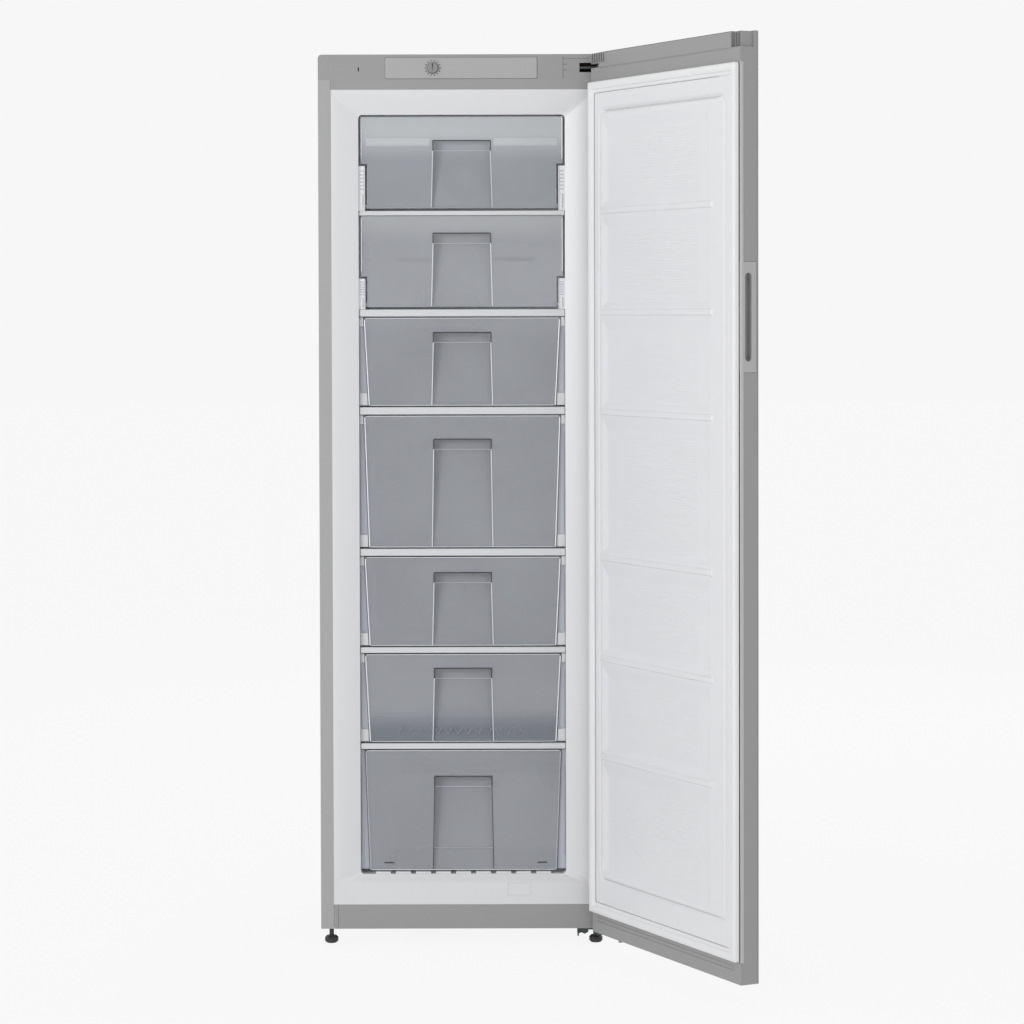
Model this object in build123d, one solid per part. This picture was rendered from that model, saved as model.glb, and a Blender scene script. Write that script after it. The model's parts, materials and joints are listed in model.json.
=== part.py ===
"""Upright freezer with a right-hinged door, drop-down flaps, drawers and a rear cooling unit.

Frame: +X to the right, +Y to the back, +Z up. The origin lies on the floor under the middle of the carcass.
All sizes are in millimetres. The door is modelled closed and then swung open about its hinge pins.
"""
from build123d import *
import os

os.makedirs("parts", exist_ok=True)

# ------------------------------------------------------------------ clearances
FIT = 0.05          # pin in bush, shaft in bore: radial play
SEAM = 0.4          # between trim pieces that are fixed side by side
MOVE = 1.0          # between bodies that move past each other
SLIDE = 0.6         # under a drawer runner
CUT = 1.0           # how far a cut runs past the face that it opens

# ------------------------------------------------------------------ carcass
WIDTH = 595.0
HEIGHT = 1855.0
DEPTH = 565.0       # front flange to back panel
BASE_Z = 33.0       # underside of the carcass above the floor
SKIN = 0.8          # painted sheet
SKIN_R = 8.0        # outer radius along the top edges
POST_W = 27.0       # front return of each side
REAR_LIP = 15.0     # rear return of each side
FASCIA_H = 52.0
FASCIA_DEEP = 95.0
FASCIA_T = 2.5
RAIL_H = 21.0       # steel strip under the fascia
RAIL_T = 1.0
KICK_H = 51.0
KICK_T = 1.5
FOLD = 16.0         # folded edges of the strip and the kick plate

# ------------------------------------------------------------------ cold space
WALL = 82.5             # side of the carcass to the inside of the liner
BROW = 51.0             # white flange above the opening
SILL = 61.0             # white flange below it
OPENING_R = 8.0
BEVEL_DEEP = 16.0       # how far the bevel leads in
BEVEL_SIDE = 41.0       # and its width at the sides, top and foot
BEVEL_TOP = 37.0
BEVEL_FOOT = 15.0
LINER_T = 1.5
BACK_FOAM = 58.0
AIR_SPACE = 62.0        # behind the duct cover, for the evaporator and fan
COVER_T = 2.5
STRIP_PITCH = 42.0      # raised strips on the liner floor
STRIP_W = 31.0
STRIP_H = 4.0
STRIP_BACK = 4.0        # behind the bevel

# ------------------------------------------------------------------ machine bay at the rear foot
BAY_H = 235.0           # above the underside of the carcass
BAY_DEEP = 205.0
BAY_FOAM = 45.0
BAY_SIDE = 18.0

# ------------------------------------------------------------------ base frame
FRAME_T = 2.0
CHANNEL_W = 42.0
BEAM_DEEP = 30.0
RAIL_W = 28.0           # cross rails under the compressor
RAIL_TALL = 16.0
RAIL_HOLE_R = 4.0
NUT_WALL = 4.0          # round each foot thread
NUT_H = 24.0

# ------------------------------------------------------------------ door
DOOR_T = 41.0
DOOR_GAP = 13.0         # carcass front to the door's inner face
DOOR_UNDER = 1.5        # door's foot below the carcass
DOOR_SHORT = 1.0        # door's top below the carcass top
DOOR_SKIN = 0.8
DOOR_R = 3.0
DOOR_OPEN = 117.0       # degrees, as it stands
RETURN_W = 9.0          # folded return of the skin on the inner face
CAP_H = 60.0            # upper end cap, seen from inside
FOOT_CAP_H = 43.0       # lower end cap
CAP_GROOVE_W = 3.0      # lines moulded into both caps
CAP_GROOVE_DEEP = 1.2
CAP_GROOVE_DOWN = 31.0  # upper line below the door's top
FOOT_GROOVE_DOWN = 8.0  # lower lines below that cap's top, and apart
FOOT_GROOVE_IN = 25.0
PIN_IN = 11.0           # hinge axis in from the door's side
PIN_FORE = 14.0         # hinge axis in front of the door's inner face
PIN_R = 4.0
PIN_LONG = 22.0
BUSH_T = 2.5
BUSH_ROOM = 4.0         # lower bush longer than its pin
POCKET_W = 34.0         # hinge pocket in the upper cap
POCKET_ROOM = 10.0      # in front of the arm
POCKET_FLOOR = 1.5      # under the arm
POCKET_RIBS = 5         # in each pocket
POCKET_RIB_T = 1.5
RIB_STEP = 6.0
GASKET_T = 12.0
GASKET_W = 22.0
GASKET_INSET = 3.5
GASKET_R = 4.0
GASKET_SEAT = 0.5       # gasket to each cap
PANEL_T = 2.0
PANEL_RISE = 5.0        # raised inner panel inside the gasket
PANEL_OFF = 1.5         # from the gasket
PANEL_R = 6.0
LINE_SIDE = 47.5        # moulded line round the cells, in from the door's sides
LINE_TOP = 62.0         # and from the caps
LINE_FOOT = 76.0
LINE_W = 8.0
LINE_DEEP = 2.0
CELL_EDGE = 12.0        # moulded line to the first and last cell
CELL_HINGE = 51.5       # cells in from the hinge side
CELL_FREE = 106.5       # and from the free side
CELL_DEEP = 3.5
CELL_R = 8.0
SLOPE_HINGE = 30.0      # width of a cell's slopes
SLOPE_FREE = 8.0
SLOPE_TOP = 34.0
SLOPE_FOOT = 16.0
RIDGE_H = 15.5          # ridge between two cells
RIDGE_RISE = 1.5
RIDGE_LONG = 14.0       # ridge past the cells, towards the free side
RIDGE_UNDER = (0.0, 0.0, 0.0, 4.0, 7.0, 8.0)    # ridge below the middle of its shelf
GRIP_Z = 1309.0         # middle of the handle insert on the free edge
GRIP_LONG = 212.0
GRIP_SLOT = 169.0
GRIP_SLOT_W = 15.0
GRIP_DEEP = 17.0
GRIP_BACK = 4.0         # insert behind the slot
GRIP_WALL = 5.0         # steel edge left in front of the insert

# ------------------------------------------------------------------ hinges
ARM_DOWN = 28.0         # upper arm below the carcass top
ARM_T = 5.0
ARM_W = 14.0
ARM_ROOT = 20.0         # arm behind the carcass front
PLATE_DEEP = 80.0       # plate that the upper arm grows from
PLATE_IN = 10.0
PLATE_FOOT_W = 20.0
PLATE_FOOT_Y = 30.0
HINGE_T = 3.0           # lower hinge plate
HINGE_W = 59.5          # its width, in from the carcass side
HINGE_DEEP = 78.0
HINGE_LOW = 15.5        # foot of its flange above the floor
HINGE_ARM_W = 32.0
SCREW_R = 5.0
SCREW_H = 4.0
SCREW_IN = 16.0
SCREW_PITCH = 32.0
STOP_R = 4.0            # door stop peg under the lower cap
STOP_H = 8.0
STOP_IN = 83.0          # from the hinge axis

# ------------------------------------------------------------------ shelves, flaps and drawers
SHELF_DROP = (209.0, 419.5, 624.0)      # upper three trims: underside below the opening's top
SHELF_RISE = (666.5, 463.0, 261.5)      # lower three: above the opening's floor
TRIM_H = (9.6, 14.8, 15.4, 14.8, 12.1, 12.0)
TRIM_DEEP = 14.0
TRIM_R = 2.0
SHELF_FRONT = 20.0      # trim front behind the carcass front
GLASS_T = 4.0
SHELF_SIDE = 1.0        # glass to liner, each side
REST_W = 8.0            # moulded ledge that carries a shelf
REST_T = 5.0
FRONT_SET = 23.0        # flap and drawer fronts behind the carcass front
FRONT_T = 3.0
FLAP_SIDE = 4.5         # flap to liner, each side
FLAP_TOP_GAP = 3.5
FLAP_FOOT_GAP = 5.0
FLAP_PIN_R = 3.0
CHEEK_H = (93.8, 64.6)  # pale cheeks beside the two flaps
CHEEK_W = 13.5
CHEEK_DEEP = 12.0
CHEEK_PROUD = 2.0
CHEEK_R = 2.5
CHEEK_GAP = 4.0         # cheek to flap
DRAWER_SIDE = 10.0      # top edge of a drawer to liner, each side
DRAWER_TAPER = 9.5      # narrower by this on each side at the foot
DRAWER_TOP_GAP = 2.5
DRAWER_FOOT_GAP = 2.5
DRAWER_R = 4.0
BIN_T = 2.0
BIN_DROP = 22.0         # bin rim below the top of its front
BIN_GAP = 44.0          # air behind a bin
LOW_BIN_GAP = 21.0      # and behind the lowest, before the machine bay step
RUNNER_W = 6.0
RUNNER_IN = 22.0
RUNNER_SHORT = 12.0     # runner ends before the bin does, front and back
GRIP_W = 120.0          # width of the grip recess in every front
GRIP_BAND = 21.0        # height of the finger band
GRIP_IN = 22.0          # depth of the recess under its top edge
GRIP_FOOT = 5.0         # and at its foot
GRIP_FLARE = 3.5        # wider by this on each side at the foot
GRIP_DROP = (49.9, 36.1, 31.0, 49.5, 33.0, 30.0, 55.4)      # recess below the top of each front

# ------------------------------------------------------------------ controls
PANEL_W = 315.0
PANEL_OVER = 6.5        # control panel below the carcass top
PANEL_UNDER = 2.0       # and above the fascia's foot
PANEL_PROUD = 1.5
PANEL_CORNER = 2.5
PANEL_EDGE = 0.8
SEAT_LIP = 2.0          # ledge behind the control panel's lower edge
KNOB_X = -59.0
KNOB_R = 11.0
KNOB_H = 7.0
KNOB_EDGE = 1.2
KNOB_SLOT_W = 2.4
KNOB_SLOT_DEEP = 2.5
KNOB_RIM = 2.0
SHAFT_R = 3.0
SHAFT_LONG = 12.0       # knob's shaft behind the panel
THERMO_W = 48.0
THERMO_H = 34.0
THERMO_DEEP = 32.0
THERMO_R = 4.0
COVER_IN = 25.0         # blank cover, in from the side
COVER_W = 86.0          # far edge of both hinge covers, in from the side
COVER_OVER = 9.5        # covers below the carcass top
COVER_PLATE = 3.0
COVER_SLOT_W = 3.0
COVER_SLOT_H = 8.0
ARM_HOLE_H = 19.5
ARM_HOLE_W = 52.0       # from the carcass side
ARM_HOLE_DEEP = 34.0

# ------------------------------------------------------------------ feet and rollers
FOOT_IN = 20.5          # foot axis in from the carcass side
FOOT_BACK = 25.0        # behind the carcass front
FOOT_R = 14.3
FOOT_H = 15.0
FOOT_EDGE = 4.0
FLUTES = 6
FLUTE_R = 4.5
FLUTE_OUT = 3.0         # flute axis outside the disc
STEM_R = 4.8
STEM_LONG = 44.0
ROLLER_R = 19.0
ROLLER_W = 16.0
ROLLER_IN = 42.5        # in from the carcass side
ROLLER_BACK = 60.0      # in front of the carcass back
ROLLER_ROOM = 3.0       # opening in the frame round it
ROLLER_EDGE = 1.5
CHEEK_PLATE_W = 18.0    # plates that hold its axle
AXLE_R = 3.0
AXLE_END = 4.0          # axle past the roller

# ------------------------------------------------------------------ cooling unit
COMP_X = 70.0
COMP_BACK = 105.0
COMP_L = 205.0
COMP_W = 140.0
COMP_H = 165.0
COMP_LIFT = 26.0        # grommets lift the compressor above its rail
COMP_SEAT = 6.0         # foot plate proud of the shell, front and back
COMP_SHELL_IN = 14.0    # and at its ends
COMP_CUP_IN = 44.0      # ends of the rounded crown and bottom
COMP_CUP_SIDE = 30.0
COMP_BOTTOM = 26.0      # height of the rounded bottom
COMP_CROWN = 66.0       # and of the crown
COMP_SEAM_UP = 74.0
COMP_SEAM_T = 3.0
COMP_SEAM_PROUD = 4.0
COMP_FOOT_T = 5.0
COMP_FOOT_R = 10.0
COMP_HOLE_X = 18.0      # foot holes in from the ends and sides
COMP_HOLE_Y = 12.0
COMP_HOLE_R = 8.0
GROMMET_R = 11.0
TERMINAL_W = 64.0
TERMINAL_H = 78.0
TERMINAL_OUT = 26.0
TERMINAL_UP = 30.0
TRAY_W = 160.0
TRAY_DEEP = 116.0
TRAY_H = 24.0
TRAY_T = 2.0
TRAY_R = 12.0
PIPE_R = 3.0
PIPE_BEND = 24.0
PIPE_SIDES = 12
DRIER_R = 9.0
DRIER_LONG = 110.0
COND_SIDE = 62.5        # condenser in from each side of the carcass
COND_UP = 92.0          # its lowest run above the machine bay
COND_DOWN = 295.0       # its top below the carcass top
COND_PITCH = 75.0
COND_OFF = 17.0         # tube axis behind the back panel
COND_R = 2.5
TUBE_SIDES = 8
WIRE_T = 1.6
WIRE_PITCH = 30.0
WIRE_END = 14.0         # wires past the first and last run
CLIP_W = 14.0
CLIP_H = 20.0
CLIP_IN = 60.0
CLIP_UP = 20.0
FAN_DOWN = 109.0        # fan axis below the opening's top
FAN_R = 55.0
FAN_HUB_R = 21.0
FAN_HUB_EDGE = 3.0
FAN_BLADES = 7
BLADE_T = 1.6
BLADE_W = 26.0
BLADE_TWIST = 35.0      # degrees
ROTOR_T = 18.0
ROTOR_GAP = 6.0         # duct cover to rotor
MOTOR_GAP = 3.0
MOTOR_R = 30.0
MOTOR_SHAFT_R = 2.0
MOTOR_SHAFT_LONG = 12.0
MOTOR_ARM_W = 10.0
MOTOR_ARM_T = 4.0
MOTOR_ARM_OUT = 15.0    # motor arms past the blades
GRILLE_RINGS = 3
GRILLE_SLOT = 8.0
GRILLE_BAR = 3.0
SPOKE_W = 4.0
AIR_SLOT_W = 90.0       # two air slots for each compartment
AIR_SLOT_H = 8.0
AIR_SLOT_X = 110.0
AIR_SLOT_DOWN = 88.0    # below the shelf above
EVAP_DOWN = 231.0       # top of the coil below the opening's top
EVAP_TALL = 320.0
EVAP_IN = 40.0
EVAP_PASSES = 8
EVAP_R = 4.0
FIN_PITCH = 36.0
FIN_T = 1.2
FIN_DEEP = 40.0
FIN_END = 12.0

# ------------------------------------------------------------------ places worked out from the sizes
HALF = WIDTH / 2
FRONT = -DEPTH / 2
BACK = DEPTH / 2
FASCIA_Z = HEIGHT - FASCIA_H
FLANGE_TOP = FASCIA_Z - RAIL_H
FLANGE_FOOT = BASE_Z + KICK_H
FLANGE_HALF = HALF - POST_W
OPEN_HALF = HALF - WALL
OPENING_TOP = FLANGE_TOP - BROW
OPENING_BOTTOM = FLANGE_FOOT + SILL
MOUTH_Y = FRONT + BEVEL_DEEP
LINER_BACK = BACK - BACK_FOAM
COVER_Y = LINER_BACK - AIR_SPACE
BAY_TOP = BASE_Z + BAY_H
BAY_Y = BACK - BAY_DEEP
STEP_TOP = BAY_TOP + BAY_FOAM
STEP_Y = BAY_Y - BAY_FOAM
DOOR_IN = FRONT - DOOR_GAP
DOOR_OUT = DOOR_IN - DOOR_T
DOOR_BOTTOM = BASE_Z - DOOR_UNDER
DOOR_TOP = HEIGHT - DOOR_SHORT
CAP_LOW = DOOR_TOP - CAP_H
CAP_HIGH = DOOR_BOTTOM + FOOT_CAP_H
PIN_X = HALF - PIN_IN
PIN_Y = DOOR_IN - PIN_FORE
HINGE = Axis((PIN_X, PIN_Y, 0), (0, 0, 1))
ARM_Z = HEIGHT - ARM_DOWN
POCKET_Z = ARM_Z - ARM_T / 2 - POCKET_FLOOR
POCKET_DEEP = PIN_FORE + ARM_W / 2 + POCKET_ROOM
GRIP_LOW = GRIP_Z - GRIP_LONG / 2
GRIP_HIGH = GRIP_Z + GRIP_LONG / 2
GRIP_TALL = DOOR_T - GRIP_WALL
FACE_Y = FRONT + FRONT_SET
SHELF_Y = FRONT + SHELF_FRONT
SHELF_Z = [OPENING_TOP - drop for drop in SHELF_DROP] + [OPENING_BOTTOM + rise for rise in SHELF_RISE]
PANEL_LOW = FASCIA_Z + PANEL_UNDER
PANEL_HIGH = HEIGHT - PANEL_OVER
PANEL_Z = (PANEL_LOW + PANEL_HIGH) / 2
COVER_HIGH = HEIGHT - COVER_OVER
FRAME_Z = FLANGE_FOOT - SEAM
FOOT_X = HALF - FOOT_IN
FOOT_Y = FRONT + FOOT_BACK
ROLLER_X = HALF - ROLLER_IN
ROLLER_Y = BACK - ROLLER_BACK
HINGE_X = HALF - HINGE_W
HINGE_HIGH = BASE_Z - SEAM
COMP_Y = BACK - COMP_BACK
COMP_Z = BASE_Z + COMP_LIFT
COND_Y = BACK + COND_OFF
COND_HALF = HALF - COND_SIDE
COND_LOW = BAY_TOP + COND_UP
COND_PASSES = int((HEIGHT - COND_DOWN - COND_LOW) / COND_PITCH) + 1
COND_HIGH = COND_LOW + (COND_PASSES - 1) * COND_PITCH
FAN_Z = OPENING_TOP - FAN_DOWN
ROTOR_Y = COVER_Y + COVER_T + ROTOR_GAP
PARTS = {}


def block(x, y, z):
    """A box between two corners, given as three ranges."""
    size = [high - low for low, high in (x, y, z)]
    middle = [(high + low) / 2 for low, high in (x, y, z)]
    return Pos(*middle) * Box(*size)


def rod(radius, start, end):
    """A round bar between two points on a line along X, Y or Z."""
    start, end = Vector(*start), Vector(*end)
    along = end - start
    return Plane(origin=(start + end) * 0.5, z_dir=along) * Cylinder(radius, along.length)


def upright(corners, low, high):
    """A prism on a plan outline, between two heights."""
    return Pos(0, 0, low) * extrude(make_face(Polyline(*corners, close=True)), high - low)


def across(corners, x_from, x_to):
    """A prism on a side outline of (y, z) corners, between two places along X."""
    return Pos(x_from, 0, 0) * extrude(Plane.YZ * make_face(Polyline(*corners, close=True)), x_to - x_from)


def rounded(x, y, z, radius):
    """A rounded rectangle in the plane at y, facing the front."""
    face = Plane(origin=(sum(x) / 2, y, sum(z) / 2), x_dir=(1, 0, 0), z_dir=(0, -1, 0))
    return face * RectangleRounded(x[1] - x[0], z[1] - z[0], radius)


def edges_along(shape, axis):
    """The straight edges that run along an axis."""
    return shape.edges().filter_by(axis)


def both_sides(piece):
    """The piece and its mirror image in the middle plane."""
    return [piece, mirror(piece, about=Plane.YZ)]


def keep(name, *pieces):
    """Record a node: one solid, or a group of separate ones."""
    solids = [solid for piece in pieces for solid in piece.solids()]
    PARTS[name] = solids[0] if len(solids) == 1 else Compound(children=solids)


# ================================================================== carcass
def outer_shell():
    """Folded steel: two sides and the top, with returns at the front and the back."""
    outer = block((-HALF, HALF), (FRONT, BACK), (BASE_Z, HEIGHT))
    outer = fillet(edges_along(outer, Axis.Y).group_by(Axis.Z)[-1], SKIN_R)
    inner = block((SKIN - HALF, HALF - SKIN), (FRONT - CUT, BACK + CUT), (BASE_Z - CUT, HEIGHT - SKIN))
    inner = fillet(edges_along(inner, Axis.Y).group_by(Axis.Z)[-1], SKIN_R - SKIN)
    post = block((-HALF + SKIN / 2, -HALF + POST_W), (FRONT, FRONT + SKIN), (BASE_Z, FASCIA_Z))
    lip = block((-HALF + SKIN / 2, -HALF + REAR_LIP), (BACK - SKIN, BACK), (BASE_Z, HEIGHT - SKIN_R))
    shell = (outer - inner).fuse(*both_sides(post), *both_sides(lip))
    notch = block((-HALF - CUT, HALF + CUT), (FRONT - CUT, FRONT + FASCIA_DEEP), (FASCIA_Z, HEIGHT + CUT))
    return shell - notch


def back_panel():
    x = HALF - REAR_LIP - SEAM
    return block((-x, x), (BACK - SKIN, BACK), (BAY_TOP, HEIGHT - SKIN - SEAM))


def insulation_foam():
    """Foamed walls round the cold space and the machine bay, as plain blocks with a bevelled front edge."""
    x_out, x_in = HALF - SKIN, OPEN_HALF + LINER_T
    high, back, brow_y = HEIGHT - SKIN, BACK - SKIN, FRONT + FASCIA_DEEP
    floor, ceiling, brow_z = OPENING_BOTTOM - LINER_T, OPENING_TOP + LINER_T, FASCIA_Z - RAIL_T
    front, mouth = FRONT + LINER_T, MOUTH_Y + LINER_T

    def wall(y_to, low, top):
        return upright([(-x_out, front), (-x_out, y_to), (-x_in, y_to), (-x_in, mouth),
                        (-x_in - BEVEL_SIDE, front)], low, top)

    lintel = across([(front, ceiling + BEVEL_TOP), (mouth, ceiling), (brow_y, ceiling), (brow_y, brow_z),
                     (front, brow_z)], -x_in, x_in)
    sill = across([(front, FLANGE_FOOT), (BAY_Y, FLANGE_FOOT), (BAY_Y, floor), (mouth, floor),
                   (front, floor - BEVEL_FOOT)], -x_in, x_in)
    roof = block((-x_out, x_out), (brow_y, back), (ceiling, high))
    roof = fillet(edges_along(roof, Axis.Y).group_by(Axis.Z)[-1], SKIN_R - SKIN)
    rear = block((-x_in, x_in), (LINER_BACK + LINER_T, back), (STEP_TOP, ceiling))
    step = block((-x_in, x_in), (STEP_Y + LINER_T, BAY_Y), (floor, STEP_TOP - LINER_T))
    bay_roof = block((-x_in, x_in), (BAY_Y, back), (BAY_TOP, STEP_TOP - LINER_T))
    bay_side = block((-x_out, -x_out + BAY_SIDE), (BAY_Y, back), (FLANGE_FOOT, STEP_TOP))
    bay_shoulder = block((-x_out + BAY_SIDE, -x_in), (BAY_Y, back), (BAY_TOP, STEP_TOP))
    sides = [wall(back, STEP_TOP, ceiling), wall(BAY_Y, FLANGE_FOOT, STEP_TOP), wall(brow_y, ceiling, brow_z),
             bay_side, bay_shoulder]
    return [lintel, sill, roof, rear, step, bay_roof] + [half for side in sides for half in both_sides(side)]


def opening_profile(y, wall):
    """The throat's outline in the plane at y: the bevel narrows it from the flange to the opening."""
    share = max(0, 1 - (y - FRONT) / BEVEL_DEEP)
    x = OPEN_HALF + BEVEL_SIDE * share + wall
    low = OPENING_BOTTOM - BEVEL_FOOT * share - wall
    high = OPENING_TOP + BEVEL_TOP * share + wall
    return rounded((-x, x), y, (low, high), OPENING_R)


def inner_liner():
    """Formed white tub: flange, bevelled throat, step over the machine bay, floor strips and shelf ledges."""
    sheet = block((-FLANGE_HALF, FLANGE_HALF), (FRONT, FRONT + LINER_T), (FLANGE_FOOT, FLANGE_TOP))
    outer = loft([opening_profile(FRONT, LINER_T), opening_profile(MOUTH_Y, LINER_T)])
    inner = loft([opening_profile(FRONT, 0), opening_profile(MOUTH_Y, 0)])
    x = OPEN_HALF + LINER_T
    tub = block((-x, x), (MOUTH_Y, LINER_BACK + LINER_T), (OPENING_BOTTOM - LINER_T, OPENING_TOP + LINER_T))
    step = block((-x, x), (STEP_Y, LINER_BACK + LINER_T), (OPENING_BOTTOM - LINER_T, STEP_TOP))
    cavity = extrude(opening_profile(MOUTH_Y, 0), MOUTH_Y - LINER_BACK)
    hollow = block((-x - CUT, x + CUT), (STEP_Y + LINER_T, LINER_BACK + LINER_T + CUT),
                   (OPENING_BOTTOM - LINER_T - CUT, STEP_TOP - LINER_T))
    liner = sheet.fuse(outer, tub) - inner - cavity
    liner = liner.fuse(step) - hollow
    count = int(2 * OPEN_HALF / STRIP_PITCH) - 1
    strips = [Pos((i - (count - 1) / 2) * STRIP_PITCH, 0, 0)
              * block((-STRIP_W / 2, STRIP_W / 2), (MOUTH_Y + STRIP_BACK, STEP_Y + LINER_T / 2),
                      (OPENING_BOTTOM - LINER_T / 2, OPENING_BOTTOM + STRIP_H)) for i in range(count)]
    rests = []
    for level in range(len(SHELF_Z)):
        under = shelf_top(level) - GLASS_T
        ledge = block((-OPEN_HALF - LINER_T / 2, -OPEN_HALF + REST_W),
                      (SHELF_Y + TRIM_DEEP + SEAM, COVER_Y - MOVE), (under - REST_T, under))
        rests += both_sides(ledge)
    return liner.fuse(*strips, *rests)


def front_rail():
    """Steel strip under the fascia, folded back along its upper edge."""
    plate = block((-FLANGE_HALF, FLANGE_HALF), (FRONT, FRONT + RAIL_T), (FLANGE_TOP, FASCIA_Z))
    return plate + block((-FLANGE_HALF, FLANGE_HALF), (FRONT, FRONT + FOLD), (FASCIA_Z - RAIL_T, FASCIA_Z))


def kick_plate():
    x = FLANGE_HALF - SEAM
    face = block((-x, x), (FRONT, FRONT + KICK_T), (BASE_Z, FLANGE_FOOT))
    return face + block((-x, x), (FRONT, FRONT + FOLD), (BASE_Z, BASE_Z + KICK_T))


def frame_channel(half, y_from, y_to, high):
    """A cross member of the base frame: a folded channel, open below."""
    channel = block((-half, half), (y_from, y_to), (BASE_Z, high))
    return channel - block((-half - CUT, half + CUT), (y_from + FRAME_T, y_to - FRAME_T),
                           (BASE_Z - CUT, high - FRAME_T))


def base_frame():
    """Two side channels with the foot threads, a front beam, and the compressor's two cross rails."""
    web_x = HALF - SKIN
    y_from, y_to = FRONT + FOLD + SEAM, BACK - SKIN
    channel = block((-web_x, -web_x + CHANNEL_W), (y_from, y_to), (BASE_Z, FRAME_Z))
    channel -= block((-web_x + FRAME_T, -web_x + CHANNEL_W + CUT), (y_from - CUT, y_to + CUT),
                     (BASE_Z + FRAME_T, FRAME_Z - FRAME_T))
    beside = ROLLER_W / 2 + MOVE
    plates = [block((x, x + FRAME_T), (ROLLER_Y - CHEEK_PLATE_W / 2, ROLLER_Y + CHEEK_PLATE_W / 2),
                    (ROLLER_R - 2 * AXLE_R, FRAME_Z - FRAME_T / 2))
              for x in (-ROLLER_X - beside - FRAME_T, -ROLLER_X + beside)]
    window = block((-ROLLER_X - beside - FRAME_T, -ROLLER_X + beside + FRAME_T),
                   (ROLLER_Y - ROLLER_R - ROLLER_ROOM, ROLLER_Y + ROLLER_R + ROLLER_ROOM),
                   (BASE_Z - CUT, 2 * ROLLER_R + ROLLER_ROOM))
    window -= plates
    bore = rod(AXLE_R, (-ROLLER_X - ROLLER_W, ROLLER_Y, ROLLER_R), (-ROLLER_X + ROLLER_W, ROLLER_Y, ROLLER_R))
    nut = rod(STEM_R + NUT_WALL, (-FOOT_X, FOOT_Y, BASE_Z), (-FOOT_X, FOOT_Y, BASE_Z + NUT_H))
    thread = rod(STEM_R + FIT, (-FOOT_X, FOOT_Y, BASE_Z - CUT), (-FOOT_X, FOOT_Y, FRAME_Z + CUT))
    side = channel.fuse(*plates, nut) - bore - thread
    beam_x = web_x - CHANNEL_W + FRAME_T / 2
    beam = block((-beam_x, beam_x), (y_from, y_from + BEAM_DEEP), (BASE_Z + KICK_T, FRAME_Z))
    beam -= block((-beam_x - CUT, beam_x + CUT), (y_from + FRAME_T, y_from + BEAM_DEEP + CUT),
                  (BASE_Z - CUT, FRAME_Z - FRAME_T))
    rails = []
    for y in comp_hole_rows():
        rail = frame_channel(beam_x, y - RAIL_W / 2, y + RAIL_W / 2, BASE_Z + RAIL_TALL)
        rails.append(rail - [rod(RAIL_HOLE_R, (x, y, BASE_Z), (x, y, BASE_Z + RAIL_TALL + CUT))
                             for x in comp_hole_columns()])
    left, right = both_sides(side)
    return left.fuse(right, beam, *rails) - both_sides(window)


# ================================================================== top front
def fascia_frame():
    """Moulded brow across the top, with windows for the control panel and the two hinge covers."""
    outer = block((-HALF, HALF), (FRONT, FRONT + FASCIA_DEEP - SEAM), (FASCIA_Z, HEIGHT))
    outer = fillet(edges_along(outer, Axis.Y).group_by(Axis.Z)[-1], SKIN_R)
    inner = block((-HALF + FASCIA_T, HALF - FASCIA_T), (FRONT + FASCIA_T, FRONT + FASCIA_DEEP + CUT),
                  (FASCIA_Z - CUT, HEIGHT - FASCIA_T))
    through = (FRONT - CUT, FRONT + FASCIA_T + CUT)
    x = PANEL_W / 2
    window = block((-x - SEAM, x + SEAM), through, (PANEL_LOW - SEAM, PANEL_HIGH + SEAM))
    seat = block((-x + SEAT_LIP, x - SEAT_LIP), (FRONT + FASCIA_T, FRONT + FASCIA_T + SEAT_LIP),
                 (FASCIA_Z, PANEL_LOW + 2 * SEAT_LIP))
    pocket = block((-HALF + COVER_IN - SEAM, -HALF + COVER_W + SEAM), through,
                   (FASCIA_Z - CUT, COVER_HIGH + SEAM))
    corner = block((HALF - COVER_W - SEAM, HALF + CUT), through, (FASCIA_Z - CUT, COVER_HIGH + SEAM))
    side_slot = block((HALF - FASCIA_T - CUT, HALF + CUT), (FRONT - CUT, FRONT + ARM_HOLE_DEEP),
                      (ARM_Z - ARM_HOLE_H / 2, ARM_Z + ARM_HOLE_H / 2))
    return (outer - inner - window - pocket - corner - side_slot).fuse(seat)


def control_panel():
    x = PANEL_W / 2
    face = block((-x, x), (FRONT - PANEL_PROUD, FRONT + FASCIA_T), (PANEL_LOW, PANEL_HIGH))
    face = fillet(edges_along(face, Axis.Y), PANEL_CORNER)
    face = chamfer(face.faces().sort_by(Axis.Y)[0].edges(), PANEL_EDGE)
    return face - rod(SHAFT_R + FIT, (KNOB_X, FRONT - PANEL_PROUD - CUT, PANEL_Z),
                      (KNOB_X, FRONT + FASCIA_T + CUT, PANEL_Z))


def hinge_blank_cover():
    """Blank over the spare hinge place, with a slot to prise it out."""
    plate = block((-HALF + COVER_IN, -HALF + COVER_W), (FRONT, FRONT + COVER_PLATE), (FASCIA_Z, COVER_HIGH))
    middle = (FASCIA_Z + COVER_HIGH) / 2
    return plate - block((-HALF + COVER_W - COVER_SLOT_W, -HALF + COVER_W + CUT),
                         (FRONT - CUT, FRONT + COVER_PLATE + CUT),
                         (middle - COVER_SLOT_H / 2, middle + COVER_SLOT_H / 2))


def hinge_cover():
    """Cover over the upper hinge, open at the side where the arm comes out."""
    plate = block((HALF - COVER_W, HALF), (FRONT, FRONT + COVER_PLATE), (FASCIA_Z, COVER_HIGH))
    return plate - block((HALF - ARM_HOLE_W, HALF + CUT), (FRONT - CUT, FRONT + COVER_PLATE + CUT),
                         (ARM_Z - ARM_HOLE_H / 2, ARM_Z + ARM_HOLE_H / 2))


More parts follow.
